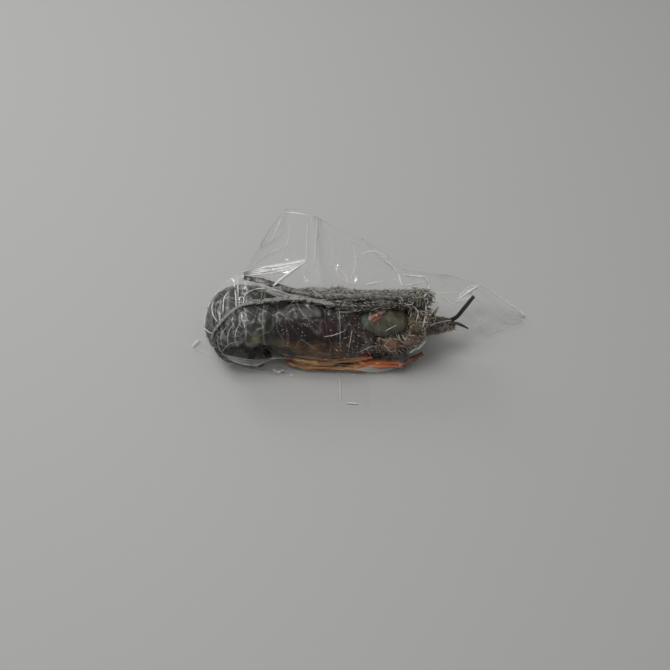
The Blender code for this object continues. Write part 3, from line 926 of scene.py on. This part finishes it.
# Thorns and hairs: route, first and last share of it, gap, how many round it, lengths, radius, lean
# ahead, seed, and the lowest way that they point.
JOINT_THORNS = (
    (NEAR_BASE, 0.1, 0.95, 0.06, 9, (2.2, 5.5), 1.0, 0.5, 11),
    (FAR_BASE, 0.1, 0.95, 0.06, 9, (2.2, 5.5), 1.0, 0.5, 12),
    (NEAR_ELBOW, 0.05, 1.0, 0.07, 10, (2.4, 5.5), 0.9, -0.3, 13),
    (mirrored(STALK), 0.35, 1.0, 0.05, 8, (1.2, 3.2), 0.6, 1.2, 16),
    (STALK, 0.35, 1.0, 0.05, 8, (1.2, 3.2), 0.6, 1.2, 17),
    (mirrored(MOUTH_LIMB), 0.1, 0.95, 0.06, 8, (1.5, 3.5), 0.8, 0.8, 19),
)
HAIRS = (
    (FAR_ANTENNA, 0.10, 0.62, 0.010, 8, (3.5, 7.0), 0.62, 3.4, 14, 0.0),
    (FAR_ANTENNA, 0.10, 0.30, 0.014, 8, (3.0, 7.0), 0.56, -1.8, 18, -0.4),
    (NEAR_ANTENNA, 0.06, 0.56, 0.010, 7, (2.4, 5.0), 0.46, 3.0, 15, -0.3),
    (NEAR_ANTENNA, 0.40, 0.97, 0.006, 6, (0.5, 1.5), 0.34, 1.2, 20, 0.0),
)
# Bent whiskers: route, how many, sizes and seed.
WHISKERS = (
    (NEAR_BASE, 26, (5, 11), 31),
    (NEAR_ELBOW, 36, (5, 11), 32),
    (FAR_BASE, 24, (5, 10), 33),
    (FAR_ANTENNA[:4], 30, (4, 9), 34),
)
CRUMBS = 480
CRUMB_SIZES = (0.2, 0.5)
CRUMB_SEED = 21


def all_from(maker, rows):
    """Everything that a maker makes from the rows of a table."""
    return [made for row in rows for made in maker(*row)]


def frozen_over(place):
    """Whether ice crumbs may lie at a place: in patches, and not on the far side of the tail."""
    return noise.noise(place / 9) > 0.05 and (place.x > -45 or place.y < 12)


def contents():
    """The lobster itself, piece by piece."""
    shell, tail = carapace_material(), tail_material()
    striped, speckled, thorned = leg_material(), joint_material(), thorn_material()
    horned = antenna_material("far_antenna_shell", (-52, -38, 0.05, 0.52), 0.45)
    frosty = antenna_material("near_antenna_shell", (-12, 4, 0.84, 0.15), 0.05, white=0.54)
    fan = antenna_material("fan_shell", (-80, -64, 0.75, 0.05), -1.0)
    haired = plain_shell("frosted_hair", (0.06, 0.05, 0.035), (0.58, 0.57, 0.52), 0.5, 0.3, 2.2)
    whiskery = plain_shell("frost_whisker", (0.10, 0.065, 0.035), (0.60, 0.55, 0.45), 0.5, 0.2, 5.0)
    dark = plain_shell("dark_belly", (0.006, 0.005, 0.004), (0.016, 0.012, 0.008), 0.4, 0.05)
    orange = plain_shell("orange_shell", (0.10, 0.020, 0.004), (0.36, 0.085, 0.012), 0.55, 0.0)
    black = plain_shell("whip_black", (0.008, 0.007, 0.006), (0.022, 0.019, 0.016), 0.4, 0.1, 2.0)
    glossy = plain_shell("eye", (0.004, 0.004, 0.004), (0.010, 0.009, 0.008), 0.1, 0.0)
    ice = plain_shell("ice", (0.34, 0.34, 0.34), (0.52, 0.52, 0.51), 0.3, 0.0)
    rings = [tail_ring(number) for number in range(len(TAIL_RINGS_AT) - 1)]
    lobes = [side_lobe(number, side) for number in RINGS_WITH_LOBES for side in (1, -1)]
    blades = [fan_lobe(*lobe) for lobe in FAN_LOBES]
    limbs = [knobbly(MOUTH_LIMB, 4), knobbly(mirrored(MOUTH_LIMB), 5)]
    near_joints = [knobbly(NEAR_BASE, 2), knobbly(NEAR_ELBOW, 3)]
    joint_thorns = all_from(thorns_on, JOINT_THORNS) + [tube(SPIKE, sides=8, steps=3)]
    stalks = [tube(STALK, 20, 12), tube(mirrored(STALK), 20, 12)]
    whips = [tube(UP_WHIP, 14, 14), tube(FORWARD_WHIP, 14, 14)]
    horns = [tube(route, 20, 12) for route in (FAR_HORN, NEAR_HORN, NEAR_HORN_RIDGE)]
    lump = egg(*GLAZED_LUMP, sides=64, rings=40, squareness=LUMP_SQUARENESS)
    made = [
        piece("back_shell", carapace(), shell),
        piece("shell_thorns", gather(carapace_thorns()), thorned),
        piece("belly", roughen(egg(*BELLY), 1.2, 6), dark),
        piece("mouth_limbs", gather(limbs), shell),
        piece("tail_rings", gather(rings), tail),
        piece("tail_side_lobes", gather(lobes), tail),
        piece("tail_fan", gather(blades), fan),
        piece("near_legs", legs(-1), striped),
        piece("far_legs", legs(1), striped),
        piece("far_base_joints", knobbly(FAR_BASE, 1), speckled),
        piece("near_base_joints", gather(near_joints), speckled),
        piece("joint_thorns", gather(joint_thorns), thorned),
        piece("far_antenna", antenna(FAR_ANTENNA, 150, 5), horned),
        piece("near_antenna", antenna(NEAR_ANTENNA, 190, 6), frosty),
        piece("antenna_thorns", gather(all_from(thorns_on, HAIRS)), haired),
        piece("frost_whiskers", gather(all_from(whiskers, WHISKERS)), whiskery),
        piece("stalks", gather(stalks), speckled),
        piece("whips", gather(whips), black),
        piece("horns", gather(horns), orange),
        piece("far_eye", egg(*FAR_EYE), glossy),
        piece("glazed_lump", roughen(lump, 0.9, 11), lump_material()),
    ]
    upper = [part for part in made if part.name.split("_")[0] in ("back", "far", "near", "tail")]
    piece("ice_crumbs", crumbs(upper, CRUMBS, CRUMB_SIZES, CRUMB_SEED, frozen_over), ice)
    return made


def applied(made):
    """The mesh that an object's modifiers make of it."""
    bpy.context.view_layer.update()
    graph = bpy.context.evaluated_depsgraph_get()
    return bpy.data.meshes.new_from_object(made.evaluated_get(graph))


def modify(made, kind, **settings):
    """Gives an object a modifier with its settings."""
    modifier = made.modifiers.new(kind.lower(), kind)
    for name, value in settings.items():
        setattr(modifier, name, value)


def solid_core(pieces):
    """One closed skin round several pieces, in metres, to draw the film over."""
    whole = bmesh.new()
    for part in pieces:
        whole.from_mesh(part.data)
    core = placed("core", meshed("core", whole))
    modify(core, "REMESH", mode="VOXEL", voxel_size=CORE_VOXEL * MM)
    core.data = applied(core)
    core.modifiers.clear()
    return core


def margin_shape(thickness):
    """The flat film margin on the floor, as a slab of the given thickness."""
    shape = blank()
    rim = [shape.verts.new((x, y, FLOOR_GAP)) for x, y in MARGIN]
    bottom = shape.faces.new(rim)
    raised = bmesh.ops.extrude_face_region(shape, geom=[bottom])["geom"]
    lifted = [part for part in raised if isinstance(part, bmesh.types.BMVert)]
    bmesh.ops.translate(shape, vec=(0, 0, thickness), verts=lifted)
    bmesh.ops.recalc_face_normals(shape, faces=shape.faces)
    shape.verts.sort(key=lambda vert: vert.co.dot(SORTED_ALONG))
    shape.edges.sort(key=lambda edge: (edge.verts[0].co + edge.verts[1].co).dot(SORTED_ALONG))
    shape.faces.sort(key=lambda face: face.calc_center_median().dot(SORTED_ALONG))
    return shape


CORE_VOXEL = 1.2
FILM_VOXEL = 1.5
FILM_CLEAR = 0.5
PULL_STEPS = [1.2] * 14 + [0.8] * 14 + [0.5] * 12
# Thorns and whips this fine pierce the film, so it isn't drawn over them.
FINER_THAN_FILM = ("antenna_thorns", "frost_whiskers", "whips")


def drawn_film(pieces):
    """The film drawn tight over the lobster: a hull round it, pulled in and smoothed by turns, and
    held outside what it covers, so that it spans the hollows as real film does."""
    core = solid_core(pieces)
    hull = bmesh.new()
    hull.from_mesh(core.data)
    hull.verts.index_update()
    made = bmesh.ops.convex_hull(hull, input=hull.verts)
    unused = made["geom_interior"] + made["geom_unused"]
    loose = {part.index for part in unused if isinstance(part, bmesh.types.BMVert)}
    bmesh.ops.delete(hull, geom=[vert for vert in hull.verts if vert.index in loose], context="VERTS")
    film = placed("film", meshed("film", hull))
    modify(film, "REMESH", mode="VOXEL", voxel_size=FILM_VOXEL * MM)
    held = {"wrap_method": "NEAREST_SURFACEPOINT", "wrap_mode": "OUTSIDE", "offset": FILM_CLEAR * MM}
    for reach in PULL_STEPS:
        modify(film, "DISPLACE", strength=-reach * MM, mid_level=0)
        modify(film, "SMOOTH", factor=0.6, iterations=3)
        modify(film, "SHRINKWRAP", target=core, **held)
    modify(film, "SMOOTH", factor=0.5, iterations=2)
    shape = bmesh.new()
    shape.from_mesh(applied(film))
    bpy.data.objects.remove(film)
    bpy.data.objects.remove(core)
    bmesh.ops.scale(shape, vec=(1 / MM, 1 / MM, 1 / MM), verts=shape.verts)
    return shape


def wrinkle(place):
    """Height of the film's fine folds at a point, from 0 to 1."""
    on_tail = step(-40, -62, place.x)
    turned = math.atan2(place.z - CURL_CENTRE.z, place.x - CURL_CENTRE.x) * CURL_RADIUS
    outward = math.hypot(place.z - CURL_CENTRE.z, place.x - CURL_CENTRE.x)
    bend = noise.noise_vector(place / 22) * 0.6
    rings = ridge(Vector((turned / 6, (place.y + outward) / 34, 2.5)) + bend, 12)
    across = ridge(Vector((place.x / 9, place.y / 34, place.z / 26)) + bend, 14)
    slanting = ridge(Vector(((place.x + place.y) / 13, (place.y - place.z) / 40, place.z / 19)) + bend, 14)
    return min(rings * on_tail + across * (0.4 - 0.3 * on_tail) + slanting * (0.3 + 0.3 * on_tail), 1)


def cling_film(pieces):
    """The part of the pouch that clings to the lobster, with folds, whitened where it folds: partly the
    film's milkiness and partly painted highlight.
    """
    shape = drawn_film([part for part in pieces if part.name not in FINER_THAN_FILM])
    bmesh.ops.subdivide_edges(shape, edges=shape.edges, cuts=1, use_grid_fill=True, smooth=0.6)
    shape.normal_update()
    haze = []
    for vert in shape.verts:
        place = vert.co.copy()
        fold = wrinkle(place)
        on_tail = step(-44, -66, place.x)
        frost = max(noise.noise(place / 8) + 0.25, 0)
        top = step(40, 56, place.z) * step(-30, -20, place.x)
        # painted shade: the film's whiteness is cut in the shaded hollow, so that it shows dark
        inside = Vector([(at - centre) / half for at, centre, half in zip(place, *HOLLOW)]).length
        hollow = step(1.5, 1.0, inside)
        crinkle = ridge(place / 4.6 + Vector((0, 0, 9.3)), 5)
        crinkle *= max(noise.noise(place / 13) + 0.35, 0) * on_tail
        # the fold and crinkle terms are partly painted highlight along the folds; the frost terms are
        # milkiness
        milky = 0.015 * on_tail + 0.05 * on_tail * frost + 0.03 * top * frost + 0.38 * fold + 0.45 * crinkle
        haze.append(milky * (1 - 0.85 * hollow))
        if place.z > 1:
            vert.co += vert.normal * (0.8 * fold + 0.4 * crinkle)
        vert.co.z = max(vert.co.z, FLOOR_GAP)
    bmesh.ops.triangulate(shape, faces=shape.faces)
    return piece("cling_film", shape, film_material("cling_film", shine=0.5, gloss=0.26), haze)


def loose_end():
    """The loose end of the film, which stands up behind: one pleat, soft waves and sharp creases."""
    shape = grid(220, 70)
    haze = []
    for vert in shape.verts:
        share, rise = vert.co.x, vert.co.y
        foot, edge = on_curve(LOOSE_END_FOOT, share), on_curve(LOOSE_END_EDGE, share)
        out = (edge - foot).cross(Vector((1, 0, 0)))
        out = out.normalized() if out.length > 1 else Vector((0, 1, 0))
        calm = min(rise * 2, 1) * min((1 - share) * 5, 1)
        pleat = math.exp(-(((share - PLEAT_AT) / 0.020) ** 2))
        waves = 2.2 * math.sin(19 * share + 2 * rise) * math.sin(math.pi * min(share * 1.2, 1))
        crease = ridge(Vector((share * 9 + rise * 1.5, rise * 2.2 - share * 2, 3.3)), 9)
        fine = ridge(Vector((share * 22 - rise * 3, rise * 3 + share * 5, 7.1)), 12)
        swell = (5 * pleat + waves - 5 * math.sin(math.pi * rise)) * calm + 1.0 * crease + 0.5 * fine
        vert.co = foot.lerp(edge, rise) - out * swell
        vert.co.z = max(vert.co.z, FLOOR_GAP + 0.3)
        border = step(0.965, 0.99, rise) + step(0.012, 0.004, share)
        clouded = 0.10 + 0.10 * noise.noise(Vector((share * 12, rise * 3, 1.7)))
        # the pleat, the creases and the border whitened: milkiness of doubled film, and painted highlight
        # along the creases
        haze.append(clouded + 0.52 * pleat + 0.45 * crease + 0.30 * fine + 0.5 * min(border, 1))
    return piece("loose_end", shape, film_material("loose_film", shine=0.45), haze)


def tent():
    """The film between the far antenna's tip and the round of the tail, with a bright rim."""
    shape = grid(60, 16)
    haze = []
    for vert in shape.verts:
        share, rise = vert.co.x, vert.co.y
        vert.co = on_curve(TENT_FOOT, share).lerp(on_curve(TENT_EDGE, share), rise)
        fold = ridge(Vector((share * 7 + rise, rise * 1.5, 4.4)), 8)
        vert.co.z += 1.2 + 0.8 * fold
        haze.append(0.10 + 0.4 * fold + 0.6 * step(0.90, 0.97, rise))
    return piece("tent", shape, film_material("tent_film", white=0.9), haze)


def margin():
    """The film's margin on the floor, with its flap in front."""
    shape = margin_shape(0.35)
    bmesh.ops.triangulate(shape, faces=shape.faces)
    for _ in range(5):
        long_edges = [edge for edge in shape.edges if edge.calc_length() > 4]
        bmesh.ops.subdivide_edges(shape, edges=long_edges, cuts=1)
        bmesh.ops.triangulate(shape, faces=shape.faces)
    haze = []
    for vert in shape.verts:
        lift = 0.5 + 0.5 * noise.noise(vert.co / 9)
        if vert.co.z > FLOOR_GAP + 0.2:
            vert.co.z += 0.9 * lift
        haze.append(0.03 * lift)
    return piece("margin", shape, film_material("margin_film", shine=0.25), haze)


def view_ray(u, v):
    """Direction from the camera through a pixel of the photo's frame."""
    tilt = Matrix.Rotation(math.radians(CAMERA_TILT), 3, "X")
    half = FRAME_PIXELS / 2
    return (tilt @ Vector(((u - half) / FOCAL_PIXELS, (half - v) / FOCAL_PIXELS, -1))).normalized()


# A crease ends where the film behind it is further from one point to the next than this.
LONGEST_STEP = 8

# Creases of the film, as pixels of the photo's frame that each one passes, and its width in
# millimetres, from the brightest group to the faintest. Their white is partly doubled film and partly
# painted highlight, and the short ones by the floor and at the edges are painted glints.
BRIGHT_CREASES_AND_GLINTS = (
    (((241, 272), (262, 268), (285, 265), (307, 261)), 1.6),
    (((273, 286), (284, 277), (296, 268), (307, 261)), 2.2),
    (((243, 274), (262, 272), (283, 268), (300, 264)), 1.5),
    (((237, 275), (238, 287), (238, 297)), 0.8),
    (((235, 290), (236, 300), (236, 307)), 0.8),
    (((237, 298), (243, 297)), 0.8),
    (((237, 302), (243, 303)), 0.8),
    (((243, 297), (244, 300), (243, 304)), 0.7),
    (((378, 253), (390, 264), (398, 274), (402, 286)), 1.7),
    (((402, 275), (414, 276), (425, 278), (429, 288), (423, 298)), 1.7),
    (((480, 284), (500, 297), (524, 314)), 1.5),
    (((516, 310), (522, 313), (524, 315)), 2.2),
    (((478, 286), (468, 292), (458, 300)), 1.6),
    (((441, 296), (448, 301), (454, 305)), 1.2),
    # painted glints: sparkles on the film near the floor, in front of the tail
    (((273, 369), (278, 372), (283, 370)), 2.6),
    (((277, 374), (280, 371)), 1.4),
    # painted highlights: white glints on the film's edge under the head
    (((409, 353), (415, 349), (420, 346)), 1.8),
    (((416, 350), (421, 345), (426, 340)), 2.2),
    # painted highlights: on the margin's left corner and on the flap in front
    (((192, 346), (196, 342), (201, 337)), 1.2),
    (((346, 403), (352, 403), (358, 404)), 0.9),
)
PLAIN_CREASES = (
    (((252, 276), (270, 273), (290, 270)), 0.8),
    (((243, 299), (247, 293), (256, 289), (270, 288)), 0.8),
    (((240, 273), (226, 283), (212, 299), (206, 313), (204, 326)), 0.6),
    (((229, 291), (224, 299), (223, 313)), 0.9),
    (((213, 301), (212, 309), (214, 317), (218, 322)), 0.8),
    (((204, 328), (209, 332), (213, 334)), 0.8),
    (((360, 255), (372, 251), (384, 255), (395, 266)), 0.9),
    (((403, 286), (414, 284), (426, 281)), 1.4),
    (((365, 285), (374, 283), (384, 281)), 1.3),
    (((430, 294), (444, 293), (458, 292)), 0.7),
    (((424, 297), (426, 310), (424, 322), (421, 331)), 0.9),
    (((430, 305), (426, 316), (428, 326), (422, 338)), 0.7),
    (((398, 354), (390, 351), (385, 345)), 0.6),
    (((274, 235), (279, 224), (283, 213)), 1.0),
    (((283, 212), (295, 213), (308, 215)), 1.0),
    (((308, 216), (307, 240), (306, 262)), 1.2),
    (((317, 217), (316, 240), (315, 265)), 1.2),
    (((458, 299), (463, 292), (472, 285)), 0.9),
    # painted glints: small sparkles on the film near the floor
    (((290, 374), (293, 376)), 0.9),
    (((351, 375), (358, 375)), 0.8),
    (((365, 371), (380, 370), (398, 367)), 0.8),
    (((404, 303), (411, 309), (410, 318)), 0.6),
    (((412, 305), (418, 312), (416, 322)), 0.6),
)
FAINT_CREASES = (
    (((228, 359), (240, 363), (256, 365), (268, 360)), 0.9),
    # painted glint on the lower edge of the glazed lump
    (((385, 331), (391, 328), (397, 325)), 0.6),
    (((398, 340), (391, 339), (386, 344), (389, 351)), 0.5),
    (((360, 352), (370, 347), (380, 345)), 0.6),
    (((352, 330), (350, 342), (348, 352)), 0.6),
    (((323, 337), (334, 335), (345, 331)), 0.6),
    (((221, 303), (218, 310), (219, 318)), 0.6),
    (((226, 327), (221, 336), (222, 346)), 0.8),
    (((233, 324), (228, 334), (228, 346)), 0.8),
    (((241, 322), (236, 331), (235, 341)), 0.7),
    (((217, 338), (219, 348), (225, 357)), 0.8),
    (((222, 352), (228, 345), (238, 341)), 0.8),
    (((339, 300), (340, 325), (340, 350), (340, 371)), 0.4),
    (((338, 312), (350, 312), (360, 311)), 0.6),
    (((340, 372), (340, 385), (341, 400)), 0.8),
    (((270, 359), (282, 358), (292, 359)), 0.7),
    (((296, 356), (316, 358), (340, 361)), 0.6),
    (((428, 326), (440, 322), (454, 320)), 0.7),
    (((330, 262), (345, 275), (348, 288)), 0.8),
    (((352, 244), (356, 262), (350, 280)), 0.8),
    (((322, 222), (330, 240), (334, 262)), 0.8),
    (((290, 222), (288, 240), (280, 258)), 0.8),
)

# Sheets of gathered film, each as two pixel lines of the photo's frame. The white ribs of the wedge and the
# leaf are painted highlight on doubled film.
WEDGE = (((243, 272), (262, 267), (285, 263), (306, 259)), ((244, 275), (258, 275), (276, 273), (299, 267)))
LEAF = (((479, 284), (469, 287), (460, 293), (456, 303)), ((479, 285), (475, 292), (468, 299), (457, 303)))
MEMBRANE = (
    ((266, 290), (276, 287), (290, 293), (303, 297)),
    ((266, 291), (280, 299), (292, 300), (303, 300)),
)
RIM = (((222, 354), (236, 363), (256, 366), (276, 358)), ((222, 354), (240, 358), (257, 360), (276, 357)))
SKIRT = (((354, 370), (372, 366), (390, 366), (404, 364)), ((354, 370), (374, 373), (389, 371), (404, 364)))


def film_point(pixel, tree):
    """Point of the film that a pixel shows, a little towards the viewer. Where the pixel just misses
    the film, it is the point on its ray that passes closest to it."""
    towards = view_ray(pixel[0], pixel[1])
    hit, _, _, _ = tree.ray_cast(CAMERA_AT, towards)
    if hit is None:
        passed = [CAMERA_AT + towards * ((height - CAMERA_AT.z) / towards.z) for height in range(1, 100)]
        hit = min(passed, key=lambda place: tree.find_nearest(place)[3])
    return hit - towards * 0.4


def gathered(name, lines, ribs, least, most, tree):
    """A small sheet of film gathered into whitened ribs that meet at its first end, whitest there: milky
    doubled film, and painted highlight where it stands for a glint.
    """
    edges = [[film_point(pixel, tree) for pixel in line] for line in lines]
    shape = grid(60, 8 * ribs)
    haze = []
    for vert in shape.verts:
        share, rise = vert.co.x, vert.co.y
        rib = abs(math.cos(math.pi * ribs * rise)) ** 3
        vert.co = on_curve(edges[0], share).lerp(on_curve(edges[1], share), rise)
        vert.co.z += 0.7 * rib * min(share * 4, 1)
        uneven = 0.5 + 0.5 * noise.noise(vert.co / 5)
        # the ribs and the first end whitened: milkiness, and painted highlight on the wedge and the leaf
        haze.append(least + (most - least) * rib * uneven + 0.4 * (1 - share) ** 3)
    return piece(name, shape, film_material(name + "_film", metal=0.0, white=0.96), haze)


def film_tree(film_pieces):
    """The film's surface in millimetres, for rays."""
    whole = bmesh.new()
    for film in film_pieces:
        whole.from_mesh(film.data)
    bmesh.ops.scale(whole, vec=(1 / MM, 1 / MM, 1 / MM), verts=whole.verts)
    tree = BVHTree.FromBMesh(whole)
    whole.free()
    return tree


def creases(name, lines, strength, tree):
    """Folds of doubled film, whitened as painted highlight where they catch the light, laid on the film
    where the photo shows them; some short ones are painted glints. Each fades towards its ends."""
    shapes = []
    haze = []
    for pixels, width in lines:
        flat = [Vector((u, v, 0)) for u, v in pixels]
        count = 4 * (len(flat) - 1)
        runs = [[]]
        for index in range(count + 1):
            at = on_curve(flat, index / count)
            laid = film_point(at, tree)
            taper = 0.35 + 0.65 * math.sin(math.pi * index / count) ** 0.6
            wobble = 1 + 0.5 * noise.noise(Vector((at.x, at.y, width)) / 4)
            if runs[-1] and (runs[-1][-1][0] - laid).length > LONGEST_STEP:
                runs.append([])
            runs[-1].append((laid, width * 0.62 * taper * wobble))
        for route in runs:
            if len(route) < 3:
                continue
            fold = tube(route, sides=8, steps=2, flat=0.7)
            map_layer = fold.loops.layers.uv.active
            for vert in fold.verts:
                share = vert.link_loops[0][map_layer].uv.y
                faded = 0.45 + 0.55 * math.sin(math.pi * share) ** 0.5 if 0 < share < 1 else 0.45
                haze.append(strength * faded * (1 + 0.7 * noise.noise(vert.co / 3)))
            shapes.append(fold)
    return piece(name, gather(shapes), film_material(name + "_film", metal=0.0, white=0.96), haze)


FLOOR_COLOUR = (0.50, 0.50, 0.49)
ROOM_COLOUR = (1.0, 0.99, 0.97)
ROOM_LIGHT = 0.31
# Lamps over the floor, which look at the object: name, place in metres, size and power.
LAMPS = (("overhead", (-0.45, 0.16, 1.40), 0.7, 9), ("back", (-0.9, 1.0, 0.9), 0.5, 3))


def stage():
    """A plain pale floor, soft light from above, and the photo's camera."""
    shape = bmesh.new()
    bmesh.ops.create_grid(shape, x_segments=1, y_segments=1, size=3)
    floor = placed("floor", meshed("floor", shape))
    pale, _, surface = new_material("pale_floor", 0.7)
    surface.inputs["Base Color"].default_value = colour(FLOOR_COLOUR)
    floor.data.materials.append(pale)
    for name, place, size, power in LAMPS:
        lamp = bpy.data.lights.new(name, "AREA")
        lamp.size = size
        lamp.energy = power
        light = placed(name, lamp)
        light.location = place
        light.rotation_euler = (-Vector(place)).to_track_quat("-Z", "Y").to_euler()
    world = bpy.data.worlds.new("studio")
    world.use_nodes = True
    background = world.node_tree.nodes["Background"]
    background.inputs["Color"].default_value = colour(ROOM_COLOUR)
    background.inputs["Strength"].default_value = ROOM_LIGHT
    bpy.context.scene.world = world
    bpy.context.scene.view_settings.view_transform = "Standard"
    lens = bpy.data.cameras.new("photo_view")
    lens.sensor_width = SENSOR
    lens.lens = FOCAL_PIXELS / FRAME_PIXELS * SENSOR
    lens.clip_start = 0.01
    camera = placed("photo_view", lens)
    camera.location = CAMERA_AT * MM
    camera.rotation_euler = (math.radians(CAMERA_TILT), 0, 0)
    bpy.context.scene.camera = camera


noise.seed_set(NOISE_SEED)
stage()
lobster = contents()
cling = cling_film(lobster)
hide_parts(NODE)
films = [cling, loose_end(), tent(), margin()]
surface = film_tree(films)
# the wedge and the leaf are painted highlights on gathered film
gathered("wedge", WEDGE, 4, 0.80, 1.6, surface)
gathered("leaf", LEAF, 4, 0.5, 1.4, surface)
gathered("membrane", MEMBRANE, 3, 0.22, 0.6, surface)
gathered("tail_rim", RIM, 2, 0.12, 0.30, surface)
gathered("skirt", SKIRT, 3, 0.22, 0.6, surface)
creases("bright_creases", BRIGHT_CREASES_AND_GLINTS, 0.9, surface)
creases("plain_creases", PLAIN_CREASES, 0.6, surface)
creases("faint_creases", FAINT_CREASES, 0.3, surface)
